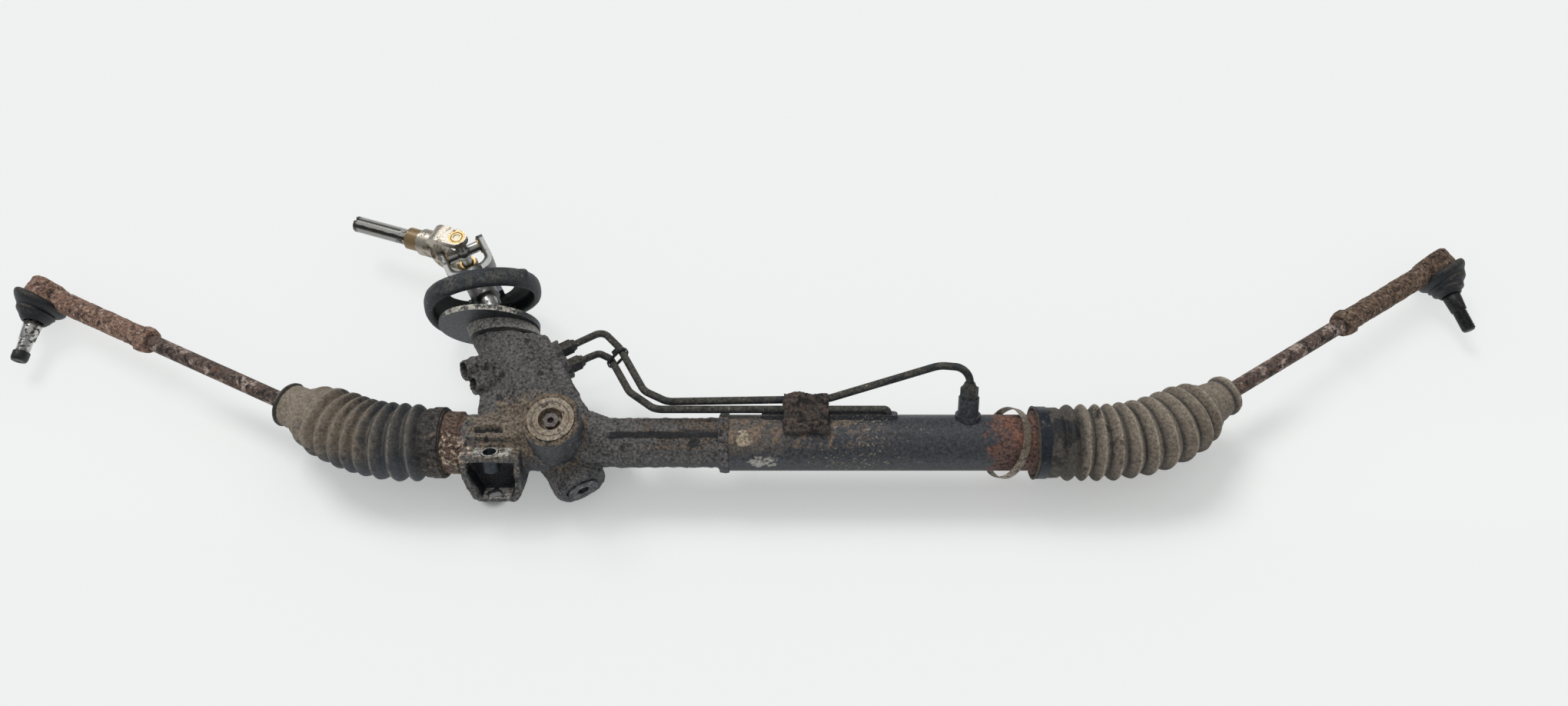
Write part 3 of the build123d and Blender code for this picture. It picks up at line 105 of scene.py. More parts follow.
def distance(tree, place, kind, values):
    """Distance in millimetres along a direction, from an axis or from a point. For facing, a cosine."""
    if kind == "facing":
        normal = add(tree, "ShaderNodeNewGeometry", out="Normal")
        return add(tree, "ShaderNodeVectorMath", {0: normal, 1: values[0]}, "Value", operation="DOT_PRODUCT")
    if kind == "near":
        far = add(tree, "ShaderNodeVectorMath", {0: place, 1: values[0]}, "Value", operation="DISTANCE")
    if kind == "along":
        far = add(tree, "ShaderNodeVectorMath", {0: place, 1: values[0]}, "Value", operation="DOT_PRODUCT")
    if kind == "round":
        away = add(tree, "ShaderNodeVectorMath", {0: place, 1: values[0]}, operation="SUBTRACT")
        across = add(tree, "ShaderNodeVectorMath", {0: away, 1: values[1]}, operation="CROSS_PRODUCT")
        far = add(tree, "ShaderNodeVectorMath", {0: across}, "Value", operation="LENGTH")
    return add(tree, "ShaderNodeMath", {0: far, 1: 1 / MM}, operation="MULTIPLY")


def zone(tree, place, kind, *values):
    """Mask over one region. The last three values: where it starts, where it is full, how ragged it is."""
    if kind == "painted":
        return add(tree, "ShaderNodeAttribute", out="Fac", attribute_name=values[0])
    low, high, ragged = values[-3:]
    far = distance(tree, place, kind, values)
    if ragged:
        waves = add(tree, "ShaderNodeTexNoise", {"Vector": place, "Scale": 1 / (RAG_SIZE * MM), **LUMPY})
        links = {"Value": waves, "From Min": RAG_LOW, "From Max": RAG_HIGH}
        rag = add(tree, "ShaderNodeMapRange", links, **SMOOTH)
        shift = add(tree, "ShaderNodeMath", {0: rag, 1: 2 * ragged}, operation="MULTIPLY")
        far = add(tree, "ShaderNodeMath", {0: far, 1: shift}, operation="ADD")
        low, high = low + ragged, high + ragged
    return add(tree, "ShaderNodeMapRange", {"Value": far, "From Min": low, "From Max": high}, **SMOOTH)


def finish(name, base, rough, metal=0.0, grit=None, layers=(), bumps=()):
    """Principled finish. Grit is (size, darkest, lightest), a bump is (size, depth),
    and a layer is (hex, roughness, size, low, high, zones...), with WHOLE for the middle three
    where it fills its zones."""
    material = bpy.data.materials.new(name)
    material.use_nodes = True
    tree = material.node_tree
    shader = tree.nodes["Principled BSDF"]
    place = add(tree, "ShaderNodeTexCoord", out="Object")
    shade, gloss, shine = colour(base), rough, metal
    for hue, layer_rough, size, low, high, *zones in layers:
        mask = 1.0
        if size:
            patches = add(tree, "ShaderNodeTexNoise", {"Vector": place, "Scale": 1 / (size * MM), **LUMPY})
            links = {"Value": patches, "From Min": low, "From Max": high}
            mask = add(tree, "ShaderNodeMapRange", links, **SMOOTH)
        for one in zones:
            mask = add(tree, "ShaderNodeMath", {0: mask, 1: zone(tree, place, *one)}, operation="MULTIPLY")
        shade = add(tree, "ShaderNodeMix", {0: mask, 6: shade, 7: colour(hue)}, 2, data_type="RGBA")
        gloss = add(tree, "ShaderNodeMix", {0: mask, 2: gloss, 3: layer_rough})
        if metal:
            shine = add(tree, "ShaderNodeMix", {0: mask, 2: shine, 3: metal * COVERED})
    if grit:
        size, darkest, lightest = grit
        grain = add(tree, "ShaderNodeTexNoise", {"Vector": place, "Scale": 1 / (size * MM), **GRAINY})
        links = {"Value": grain, "From Min": GRIT_LOW, "From Max": GRIT_HIGH}
        level = add(tree, "ShaderNodeMapRange", {**links, "To Min": darkest, "To Max": lightest})
        shade = add(tree, "ShaderNodeVectorMath", {0: shade, "Scale": level}, operation="SCALE")
    normal = None
    for size, depth in bumps:
        relief = add(tree, "ShaderNodeTexNoise", {"Vector": place, "Scale": 1 / (size * MM), **LUMPY})
        links = {"Height": relief, "Distance": depth * MM, "Strength": 1.0}
        if normal:
            links["Normal"] = normal
        normal = add(tree, "ShaderNodeBump", links)
    for key, value in (("Base Color", shade), ("Roughness", gloss), ("Metallic", shine), ("Normal", normal)):
        if isinstance(value, bpy.types.NodeSocket):
            tree.links.new(value, shader.inputs[key])
        elif value is not None:
            shader.inputs[key].default_value = value
    return material


def spot(x, y, z):
    """Point in record metres of a point in rack millimetres."""
    return tuple(ROLLED @ Vector((x, y, z)))


def heading(x, y, z):
    """Unit direction in the record frame of a direction in the rack frame."""
    return tuple((ROLLED.to_3x3() @ Vector((x, y, z))).normalized())


def facing(yaw, pitch):
    """Direction turned by yaw from +Y towards +X, then raised by pitch, in degrees."""
    yaw, pitch = radians(yaw), radians(pitch)
    return Vector((sin(yaw) * cos(pitch), cos(yaw) * cos(pitch), sin(pitch)))


PINION_LEAN = radians(29.0)
PINION_DROP = 15.5
CROSS_UP = 226.0  # joint's centre, along the pinion from where it crosses the rack
WINDOW_BEHIND = 7.0
DISC_TO_NECK = 12.5
PINION_DIR = Vector((-sin(PINION_LEAN), cos(PINION_LEAN), 0.0))
CROSS_CENTRE = Vector((0.0, 0.0, -PINION_DROP)) + PINION_DIR * CROSS_UP
SHAFT_DIR = facing(-70.0, -5.5)
CUP_DIR = Vector((cos(PINION_LEAN), sin(PINION_LEAN), 0.0)).cross(SHAFT_DIR).normalized()
RACK_AXIS = (spot(0, 0, 0), ALONG)
PLUG_AXIS = (spot(0, 0, 46), heading(0, 0, 1))
CUP_AXIS = (spot(*CROSS_CENTRE), heading(*CUP_DIR))
SHAFT_AXIS = (spot(*CROSS_CENTRE), heading(*SHAFT_DIR))
LOWER_RIGHT = (0.55, -0.83, 0.0)  # side of the yoke plug where a glint is painted on a turned ring
REFLECTION_SIDE = (-0.29, -0.64, 0.71)  # across the shaft, half way between its middle and its lower edge, where a dark reflection is painted
BOLT_LEAN = radians(31.0)  # bolt axis from straight up, on the floor
BOLT_DIR = Vector((0.0, sin(BOLT_LEAN), cos(BOLT_LEAN)))
BEHIND_DIR = Vector((0.0, cos(BOLT_LEAN), -sin(BOLT_LEAN)))
WINDOW_AXIS = tuple(BEHIND_DIR * WINDOW_BEHIND * MM)
DISC_AXIS = (spot(-75, 117, -13), heading(-0.017, 0.992, 0.122))
NECK_FROM = Vector(DISC_AXIS[0]).dot(Vector(DISC_AXIS[1])) / MM - DISC_TO_NECK

# Sand-cast aluminium under years of oil and road dirt: dull, lumpy, grey-brown, dark in patches, with painted
# shade on what faces down, in the bracket's window and in its slot
GREASY_CAST = finish(
    "greasy_cast_aluminium", "#636160", 0.70, grit=(2.4, 0.15, 1.9),
    layers=(
        # painted shade: darker on what faces down
        ("#33363b", 0.50, *WHOLE, ("facing", UP, 0.45, -0.15, 0.0)),
        ("#7f7365", 0.85, *WHOLE, ("near", spot(-40, 4, 12), 42.0, 26.0, 10.0),
         ("facing", UP, 0.25, 0.7, 0.0)),
        ("#786a5a", 0.80, *WHOLE, ("round", *PLUG_AXIS, 29.0, 22.0, 6.0), ("facing", UP, 0.2, 0.7, 0.0)),
        ("#6a574b", 0.80, *WHOLE, ("along", ALONG, -22.0, -26.0, 3.0),
         ("round", *RACK_AXIS, 42.0, 38.0, 0.0)),
        # painted shade inside the bracket's window
        ("#1a1d22", 0.50, *WHOLE, ("round", WINDOW_AXIS, tuple(BOLT_DIR), 23.0, 20.5, 0.0),
         ("along", tuple(BEHIND_DIR), -5.0, -3.5, 0.0), ("along", tuple(BOLT_DIR), 17.5, 16.0, 0.0)),
        ("#655a50", 0.85, 12.0, 0.42, 0.56, ("along", ALONG, 110.0, 135.0, 8.0),
         ("facing", UP, 0.72, 0.95, 0.0)),
        ("#1b1c1f", 0.60, *WHOLE, ("along", ALONG, 92.0, 98.0, 0.0), ("along", ALONG, 192.0, 188.0, 4.0),
         ("along", BACK, 23.6, 24.6, 0.8), ("along", BACK, 30.6, 29.2, 0.8),
         ("facing", UP, 0.6, 0.8, 0.0)),
        ("#26272a", 0.45, 14.0, 0.58, 0.66),
        ("#d2bfa8", 0.45, 4.0, 0.50, 0.56, ("near", spot(-84, -17, 18), 20.0, 9.0, 8.0)),
        # painted shade in the slot cut into the bracket's top
        ("#121316", 0.60, *WHOLE, ("painted", "slot")),
        ("#bdbab3", 0.40, *WHOLE, ("painted", "machined")),
        ("#5a554e", 0.60, 5.0, 0.55, 0.62, ("painted", "machined")),
    ),
    bumps=((3.0, 1.5), (1.1, 0.6)),
)
# The turned neck of the valve cover: finer, drier dirt, and painted shade on what faces down
DUSTY_CAST = finish(
    "dusty_turned_aluminium", "#979590", 0.72, grit=(2.4, 0.3, 1.7),
    layers=(
        # painted shade: darker on what faces down
        ("#3a3b3d", 0.60, *WHOLE, ("facing", UP, 0.15, -0.3, 0.0)),
        ("#35332f", 0.60, 9.0, 0.58, 0.68),
        ("#161617", 0.60, *WHOLE, ("along", DISC_AXIS[1], NECK_FROM + 2.2, NECK_FROM + 1.4, 0.4)),
    ),
    bumps=((2.4, 0.5), (0.9, 0.25)),
)
# Ring at the tube's end, rusted like the tube beside it
RUSTED_RING = finish(
    "rusted_turned_ring", "#6b5348", 0.85, grit=(2.6, 0.2, 1.8),
    layers=(("#2b2522", 0.7, 7.0, 0.54, 0.64), ("#8a7766", 0.9, 4.0, 0.60, 0.70)),
    bumps=((2.6, 0.7), (1.0, 0.3)),
)
# Zinc-plated yoke plug: tan oil film, with a painted glint on turned rings at the front
OILY_ZINC = finish(
    "oily_zinc_plug", "#948877", 0.50, 0.2, grit=(2.2, 0.35, 1.65),
    layers=(
        ("#85745d", 0.42, 12.0, 0.46, 0.60),
        ("#4a3f35", 0.70, 9.0, 0.56, 0.66),
        # painted glint on a turned ring at the lower right
        ("#c0a57a", 0.32, 5.0, 0.36, 0.48, ("round", *PLUG_AXIS, 15.6, 16.4, 0.0),
         ("round", *PLUG_AXIS, 18.6, 17.8, 0.0), ("along", LOWER_RIGHT, 30.0, 46.0, 6.0)),
        ("#57493a", 0.50, *WHOLE, ("round", *PLUG_AXIS, 14.2, 14.7, 0.0),
         ("round", *PLUG_AXIS, 15.6, 15.2, 0.0)),
    ),
    bumps=((2.2, 0.30), (5.0, 0.35)),
)
# Adjusting screw: grey steel, filmed with mauve-brown dirt
GREY_SCREW = finish(
    "filmed_steel_screw", "#6b6461", 0.55, 0.3, grit=(2.0, 0.4, 1.6),
    layers=(("#2b2725", 0.7, 4.0, 0.56, 0.66),), bumps=((1.6, 0.3),),
)
# Steel plug in the lower boss: black dirt, with its raised edges rubbed grey
DIRTY_PLUG = finish(
    "dirt_filled_plug", "#55565a", 0.55, 0.2, grit=(2.6, 0.15, 1.9),
    layers=(("#2b2c30", 0.6, 6.0, 0.48, 0.58), ("#9a9a9c", 0.4, 4.0, 0.60, 0.66)),
    bumps=((2.6, 0.7), (1.0, 0.3)),
)
# Turned steel inside: grey, fine turning marks under oil
TURNED_STEEL = finish(
    "turned_steel", "#a9a9a6", 0.34, 1.0,
    layers=(("#4b4641", 0.60, 6.0, 0.55, 0.70),),
    bumps=((0.8, 0.06),),
)
# Bush in the bracket: steel gone dark blue-grey with grease
GREASED_BUSH = finish(
    "greased_steel_bush", "#3f464d", 0.50, 0.4, grit=(2.4, 0.4, 1.6),
    layers=(("#b5b2ac", 0.35, 5.0, 0.32, 0.42, ("along", tuple(BOLT_DIR), 21.6, 21.9, 0.0)),),
    bumps=((1.6, 0.15),),
)
# Hardened spring steel: darker, smooth
SPRING_STEEL = finish(
    "blued_spring_steel", "#3b3d42", 0.36, 1.0,
    layers=(("#6a625a", 0.6, 5.0, 0.6, 0.7),),
    bumps=((1.5, 0.05),),
)
# Pressed disc, black phosphate with a painted highlight on its rim where it faces up
PRESSED_DISC = finish(
    "pressed_disc_steel", "#3a3e44", 0.46, 0.3, grit=(2.4, 0.35, 1.7),
    layers=(
        ("#66635c", 0.80, 8.0, 0.52, 0.64, ("facing", UP, 0.2, 0.7, 0.0)),
        ("#17181b", 0.50, 3.0, 0.58, 0.68),
        # painted highlight on the rim
        ("#b9b5aa", 0.32, 5.0, 0.40, 0.50, ("round", *DISC_AXIS, 42.6, 43.4, 0.6),
         ("facing", UP, 0.55, 0.8, 0.0)),
    ),
    bumps=((2.4, 0.30), (0.9, 0.12)),
)
# Cylinder: dark stoved paint with painted shade on what faces down, tan dust and scratches by the collar,
# rust where the paint is gone at the right
PAINTED_TUBE = finish(
    "dark_painted_tube", "#3d4046", 0.50, grit=(2.4, 0.35, 1.65),
    layers=(
        ("#655f59", 0.80, *WHOLE, ("along", ALONG, 262.0, 190.0, 40.0), ("facing", UP, 0.45, 0.8, 0.0)),
        # painted shade: darker on what faces down
        ("#24272d", 0.50, *WHOLE, ("facing", UP, 0.35, -0.1, 0.0)),
        ("#7d6d5e", 0.85, 9.0, 0.46, 0.58, ("along", ALONG, 345.0, 300.0, 50.0),
         ("facing", UP, 0.72, 0.95, 0.0)),
        ("#9c8d79", 0.80, 2.2, 0.58, 0.64, ("along", ALONG, 350.0, 300.0, 40.0),
         ("along", ALONG, 245.0, 290.0, 30.0)),
        ("#b5a58e", 0.75, 5.0, 0.38, 0.50, ("near", spot(154, -6, 22.5), 8.0, 5.5, 2.5)),
        ("#a7a49d", 0.45, 5.0, 0.40, 0.50, ("near", spot(164, -21, 9), 8.0, 5.0, 4.0)),
        ("#a7a49d", 0.45, 4.0, 0.44, 0.54, ("near", spot(176, -21, 9), 7.0, 4.0, 4.0)),
        ("#6a524b", 0.82, *WHOLE, ("along", ALONG, 406.0, 412.0, 10.0)),
        ("#7c5647", 0.85, 12.0, 0.46, 0.60, ("along", ALONG, 404.0, 412.0, 10.0),
         ("facing", UP, 0.5, 0.95, 0.0)),
        ("#3d2722", 0.80, 5.0, 0.57, 0.62, ("along", ALONG, 404.0, 412.0, 10.0)),
    ),
    bumps=((6.0, 0.25), (1.6, 0.25)),
)
# Bare steel rusted through: mauve-brown scale with ochre dust
RUSTY_FORGING = finish(
    "rusty_forged_steel", "#8d6f60", 0.88, grit=(2.4, 0.25, 1.8),
    layers=(
        ("#5a4742", 0.85, 7.0, 0.50, 0.62),
        ("#b39a86", 0.90, 5.0, 0.52, 0.64),
    ),
    bumps=((2.4, 0.6), (0.9, 0.30)),
)
# The same steel lying in more grime on the right
BROWN_FORGING = finish(
    "brown_forged_steel", "#705c4d", 0.88, grit=(2.6, 0.15, 1.85),
    layers=(
        ("#463930", 0.85, 7.0, 0.50, 0.62),
        ("#a08b76", 0.90, 5.0, 0.58, 0.68),
    ),
    bumps=((2.6, 0.7), (1.0, 0.35)),
)
# Rolled bar of the tie rods: dark scale with flaked tan patches
SCALED_ROD = finish(
    "scaled_rod_steel", "#64544c", 0.82, grit=(2.6, 0.25, 1.75),
    layers=(
        ("#a5948a", 0.85, 11.0, 0.52, 0.60),
        ("#35302e", 0.75, 8.0, 0.55, 0.61),
        ("#7d5a49", 0.85, 5.0, 0.58, 0.68),
    ),
    bumps=((3.0, 0.35), (1.0, 0.25)),
)
# Steel strip of the loose band: grey-tan, dull
STRIP_STEEL = finish(
    "dull_strip_steel", "#8b8072", 0.50, 0.4, grit=(2.2, 0.55, 1.45),
    layers=(("#4b443c", 0.75, 6.0, 0.54, 0.64), ("#b9b0a1", 0.45, 8.0, 0.60, 0.70)),
    bumps=((1.2, 0.08),),
)
# Band clamp: blackened steel
BLACK_STRIP = finish(
    "blackened_strip_steel", "#1d2430", 0.40, 0.3, grit=(2.4, 0.5, 1.5),
    layers=(("#57524a", 0.8, 8.0, 0.60, 0.68),),
    bumps=((1.2, 0.10),),
)
# Band clamp on the left, rusted and bright in spots
RUSTED_STRIP = finish(
    "rusted_strip_steel", "#4a4643", 0.80, 0.1, grit=(2.8, 0.1, 1.9),
    layers=(
        ("#2c2521", 0.8, 7.0, 0.54, 0.62),
        ("#6a5c50", 0.8, 9.0, 0.54, 0.64),
    ),
    bumps=((2.2, 0.6), (0.9, 0.25)),
)
# Transfer pipes: black-painted steel, dusty on top
PIPE_PAINT = finish(
    "dusty_pipe_paint", "#35373a", 0.62, grit=(2.4, 0.3, 1.7),
    layers=(
        ("#4c4a43", 0.85, *WHOLE, ("facing", UP, 0.35, 0.9, 0.0)),
        ("#26282b", 0.60, 12.0, 0.52, 0.62),
        ("#a39d8d", 0.80, 5.0, 0.66, 0.72),
    ),
    bumps=((2.4, 0.25), (0.8, 0.10)),
)
# Clamp over the pipes, caked with brown road dirt
CAKED_CLAMP = finish(
    "dirt_caked_clamp", "#47423f", 0.90, grit=(2.6, 0.25, 1.65),
    layers=(
        ("#5f5149", 0.92, 9.0, 0.44, 0.58, ("facing", UP, 0.35, 0.8, 0.0)),
        ("#231f1e", 0.80, 6.0, 0.52, 0.62),
    ),
    bumps=((3.0, 1.2), (1.1, 0.5)),
)
# Lower yoke: satin grey, with painted shade inside its fork
SATIN_YOKE = finish(
    "satin_forged_yoke", "#6f6f6e", 0.38, 1.0,
    layers=(
        ("#4f4a44", 0.50, 9.0, 0.55, 0.66),
        # painted shade inside the fork
        ("#1b1c1f", 0.55, *WHOLE, ("near", CUP_AXIS[0], 30.5, 27.0, 0.0),
         ("round", CUP_AXIS[0], heading(*PINION_DIR), 21.0, 19.0, 0.0)),
    ),
    bumps=((6.0, 0.15), (1.2, 0.06)),
)
# Upper yoke: silver, with tan stains and a golden shoulder from old oil
OILED_YOKE = finish(
    "oiled_forged_yoke", "#b3aca1", 0.38, 1.0,
    layers=(
        ("#75634a", 0.45, 9.0, 0.50, 0.62),
        ("#b9b4aa", 0.30, 9.0, 0.62, 0.70),
        ("#3a3128", 0.60, 4.0, 0.63, 0.69),
        ("#8d7550", 0.36, *WHOLE, ("near", CUP_AXIS[0], 45.0, 47.0, 1.0)),
    ),
    bumps=((3.0, 0.25), (0.9, 0.10)),
)
# Bearing cups: yellow-passivated steel with a dished end and a painted highlight in the middle of the dish
YELLOW_CUP = finish(
    "yellow_passivated_steel", "#a78d5c", 0.32, 1.0,
    layers=(
        ("#6b4f2c", 0.45, *WHOLE, ("round", *CUP_AXIS, 4.6, 4.9, 0.0), ("round", *CUP_AXIS, 5.9, 5.5, 0.0)),
        # painted highlight in the middle of the dish
        ("#d8cdb2", 0.25, *WHOLE, ("round", *CUP_AXIS, 4.2, 2.6, 1.0)),
        ("#5b4426", 0.50, 3.0, 0.60, 0.68),
    ),
)
# Column shaft: hard chrome with rust spots by the yoke, a painted highlight along its top and a painted
# reflection as a dark streak along it
CHROME_SHAFT = finish(
    "stained_chrome", "#92918e", 0.20, 1.0,
    layers=(
        # painted highlight along the top
        ("#b4b3af", 0.14, *WHOLE, ("facing", UP, 0.72, 0.86, 0.0)),
        # painted reflection: a dark streak along the shaft
        ("#2c2b2a", 0.30, *WHOLE, ("facing", REFLECTION_SIDE, 0.965, 0.985, 0.016)),
        ("#4a4038", 0.55, 4.0, 0.50, 0.56, ("near", SHAFT_AXIS[0], 72.0, 60.0, 10.0)),
        ("#8a7048", 0.36, *WHOLE, ("near", SHAFT_AXIS[0], 60.0, 58.0, 1.0)),
        ("#3a3733", 0.45, 5.0, 0.40, 0.50, ("near", SHAFT_AXIS[0], 110.0, 113.0, 2.0)),
    ),
    bumps=((12.0, 0.05),),
)
# Bright machined stud with oil in its threads
BRIGHT_STUD = finish(
    "bright_machined_stud", "#c6c5c2", 0.24, 1.0,
    layers=(("#3c3733", 0.5, 5.0, 0.52, 0.60),),
    bumps=((2.0, 0.06),),
)
# The right stud, black with grease
BLACK_STUD = finish(
    "grease_black_stud", "#1c1c1e", 0.48, 0.3, grit=(2.0, 0.5, 1.8),
    layers=(("#3a3835", 0.6, 4.0, 0.56, 0.68),),
    bumps=((1.5, 0.1),),
)
# Moulded rubber, weathered: blue-black where clean, dust on what faces up, painted shade on the ring's inner
# faces
SEAL_RUBBER = finish(
    "weathered_seal_rubber", "#2b3036", 0.58, grit=(2.6, 0.4, 1.55),
    layers=(
        ("#5b5a57", 0.85, 14.0, 0.42, 0.58, ("facing", UP, 0.45, 0.9, 0.0)),
        # painted shade on the inner faces of the ring
        ("#16191d", 0.50, *WHOLE, ("painted", "inside")),
        ("#8a8b8a", 0.60, 4.0, 0.66, 0.72),
    ),
    bumps=((4.0, 0.30), (1.0, 0.15)),
)
# Left bellows: tan dust at the small end, dark slate rubber by the housing, painted shade in patches on what
# faces sideways and down, pale crest lines
LEFT_BELLOWS_RUBBER = finish(
    "dusty_bellows_rubber", "#3f434a", 0.62, grit=(2.4, 0.6, 1.4),
    layers=(
        ("#5c5852", 0.80, *WHOLE, ("facing", UP, 0.35, 0.95, 0.0)),
        ("#85796b", 0.85, *WHOLE, ("along", ALONG, -86.0, -122.0, 14.0), ("facing", UP, 0.0, 0.7, 0.0)),
        ("#948879", 0.88, *WHOLE, ("along", ALONG, -128.0, -168.0, 14.0), ("facing", UP, -0.6, 0.3, 0.0)),
        ("#3a3833", 0.70, *WHOLE, ("painted", "edge")),
        # painted shade, in patches, on what faces sideways and down
        ("#2a2d33", 0.55, 16.0, 0.54, 0.64, ("facing", UP, 0.9, 0.3, 0.0)),
        ("#8c857a", 0.75, 9.0, 0.36, 0.56, ("painted", "crest")),
        ("#45423f", 0.80, *WHOLE, ("painted", "soaked")),
        ("#242221", 0.70, 6.0, 0.50, 0.58, ("painted", "soaked")),
        ("#6f6558", 0.85, 5.0, 0.58, 0.66, ("painted", "soaked")),
    ),
    bumps=((2.4, 0.25), (0.9, 0.12)),
)
# Right bellows: khaki dust all over, painted shade on what faces down and in every groove, pale crest lines,
# grime in the folds by the cuff
RIGHT_BELLOWS_RUBBER = finish(
    "khaki_bellows_rubber", "#80766a", 0.85, grit=(2.4, 0.55, 1.45),
    layers=(
        ("#8b8072", 0.88, *WHOLE, ("facing", UP, 0.5, 0.95, 0.0)),
        # painted shade: darker on what faces down
        ("#4a433c", 0.85, *WHOLE, ("facing", UP, 0.35, -0.3, 0.0)),
        ("#b3a797", 0.80, 7.0, 0.32, 0.46, ("painted", "crest")),
        # painted shade in the valley of every fold
        ("#2d2c2c", 0.70, *WHOLE, ("painted", "groove_shade")),
        ("#55504a", 0.80, *WHOLE, ("along", ALONG, 484.0, 480.0, 2.0)),
        ("#1f2124", 0.60, *WHOLE, ("near", spot(414, -2, 29), 17.0, 9.0, 7.0)),
        ("#34302c", 0.75, 14.0, 0.56, 0.66, ("along", ALONG, 540.0, 500.0, 30.0)),
    ),
    bumps=((2.6, 0.40), (0.9, 0.20)),
)
# Black dust boots and the seals' dark rubber
BOOT_RUBBER = finish(
    "black_boot_rubber", "#1d2025", 0.52, grit=(2.4, 0.5, 1.6),
    layers=(("#46413b", 0.80, *WHOLE, ("facing", UP, 0.7, 1.0, 0.0)), ("#5a534b", 0.80, 5.0, 0.62, 0.70)),
    bumps=((1.8, 0.18),),
)
# Moulded acetal liners and the pipe tie
LINER_PLASTIC = finish(
    "moulded_acetal", "#d8d4c8", 0.40, layers=(("#8d8472", 0.5, 4.0, 0.55, 0.68),), bumps=((3.0, 0.05),)
)
TIE_NYLON = finish(
    "black_nylon_tie", "#18181a", 0.45, layers=(("#3a3836", 0.7, 3.0, 0.58, 0.68),), bumps=((1.5, 0.08),)
)
STUD_CAP = finish(
    "black_moulded_cap", "#17181b", 0.45, layers=(("#34322f", 0.7, 3.0, 0.58, 0.68),), bumps=((1.5, 0.1),)
)

NODE_FINISH = {
    GREASY_CAST: ("rack_housing",),
    DUSTY_CAST: ("valve_cover",),
    RUSTED_RING: ("end_cap",),
    OILY_ZINC: ("yoke_cover",),
    GREY_SCREW: ("yoke_adjuster",),
    DIRTY_PLUG: ("pinion_cap",),
    GREASED_BUSH: ("mount_bush",),
    TURNED_STEEL: (
        "rack_guide", "lower_bearing", "upper_bearing_outer", "upper_bearing_inner", "end_bush",
        "pinion", "valve_sleeve", "torsion_bar", "input_shaft", "rack_bar", "piston", "inner_socket_left",
        "inner_socket_right", "joint_cross",
    ),
    SPRING_STEEL: ("yoke_spring", "pinch_bolt"),
    PRESSED_DISC: ("dust_disc",),
    PAINTED_TUBE: ("cylinder_tube",),
    RUSTY_FORGING: ("outer_end_left", "lock_nut_left"),
    BROWN_FORGING: ("outer_end_right", "lock_nut_right"),
    SCALED_ROD: ("tie_rod_left", "tie_rod_right"),
    STRIP_STEEL: ("loose_band",),
    BLACK_STRIP: ("band_clamp_right",),
    RUSTED_STRIP: ("band_clamp_left",),
    PIPE_PAINT: ("transfer_pipe_a", "transfer_pipe_b", "pipe_nuts"),
    CAKED_CLAMP: ("pipe_clamp",),
    SATIN_YOKE: ("lower_yoke",),
    OILED_YOKE: ("upper_yoke",),
    YELLOW_CUP: ("lower_cups", "upper_cups"),
    CHROME_SHAFT: ("column_shaft",),
    BRIGHT_STUD: ("ball_stud_left",),
    BLACK_STUD: ("ball_stud_right",),
    SEAL_RUBBER: ("bulkhead_seal",),
    LEFT_BELLOWS_RUBBER: ("bellows_left",),
    RIGHT_BELLOWS_RUBBER: ("bellows_right",),
    BOOT_RUBBER: ("dust_boot_left", "dust_boot_right", "input_seal", "rack_seal", "piston_ring"),
    LINER_PLASTIC: ("inner_seat_left", "inner_seat_right", "outer_seat_left", "outer_seat_right"),
    TIE_NYLON: ("zip_tie",),
}


def dress_nodes():
    """Gives every CAD node its finish."""
    for material, names in NODE_FINISH.items():
        for name in names:
            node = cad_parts[name]
            if not node.material_slots:
                node.data.materials.append(material)
            for place in node.material_slots:
                place.material = material


# Mesh making


def link_mesh(name, points, faces, material, smooth=True):
    """Mesh object of points in metres, linked to the scene."""
    mesh = bpy.data.meshes.new(name)
    mesh.from_pydata([tuple(p) for p in points], [], faces)
    mesh.polygons.foreach_set("use_smooth", [smooth] * len(mesh.polygons))
    mesh.materials.append(material)
    mesh.update()
    made = bpy.data.objects.new(name, mesh)
    bpy.context.scene.collection.objects.link(made)
    return made


def ring_shell(name, rings, material, closed=False, sharp_rings=()):
    """Skin over rings of equal length. Closed joins the last ring to the first, else both ends are capped."""
    count, around = len(rings), len(rings[0])
    points = np.clip([tuple(p) for ring in rings for p in ring], *inside)
    faces = []
    for n in range(count if closed else count - 1):
        after = (n + 1) % count
        for m in range(around):
            beside = (m + 1) % around
            faces.append((n * around + m, n * around + beside, after * around + beside, after * around + m))
    if not closed:
        faces.append(tuple(reversed(range(around))))
        faces.append(tuple(range((count - 1) * around, count * around)))
    made = link_mesh(name, points, faces, material)
    if sharp_rings:
        for edge in made.data.edges:
            a, b = (v // around for v in edge.vertices)
            edge.use_edge_sharp = a == b and a in sharp_rings
    return made


def applied(obj):
    """Replaces an object's mesh by what its modifiers make of it."""
    bpy.context.view_layer.update()
    done = obj.evaluated_get(bpy.context.evaluated_depsgraph_get())
    mesh = bpy.data.meshes.new_from_object(done)
    obj.modifiers.clear()
    obj.data = mesh
    return obj


def rounded(obj):
    """The same object with its mesh subdivided once."""
    smooth = obj.modifiers.new("smooth", "SUBSURF")
    smooth.levels = smooth.render_levels = 1
    return applied(obj)


def paint(obj, name, values):
    """Stores one number for each vertex, which a finish reads by its name."""
    stored = obj.data.attributes.new(name, "FLOAT", "POINT")
    stored.data.foreach_set("value", np.asarray(values, np.float32))


def axes(origin, x_dir, z_dir):
    """Matrix of a frame whose X and Z directions are given."""
    made = Matrix((x_dir, z_dir.cross(x_dir), z_dir)).transposed().to_4x4()
    made.translation = origin
    return made


def turned_ring(radius, height, around):
    """Points of one circle about the Z axis."""
    angles = [2 * pi * m / around for m in range(around)]
    return [Vector((radius * cos(a), radius * sin(a), height)) for a in angles]


def lerp(a, b, t):
    """Value between a and b."""
    return a + (b - a) * t


# One end of the rack, with the same joints as the CAD model

ROD_DROOP = radians(3.9)
STUD_DROOP = radians(8.0)
BALL_ASIDE = 5.0  # outer ball's centre from the rod's axis


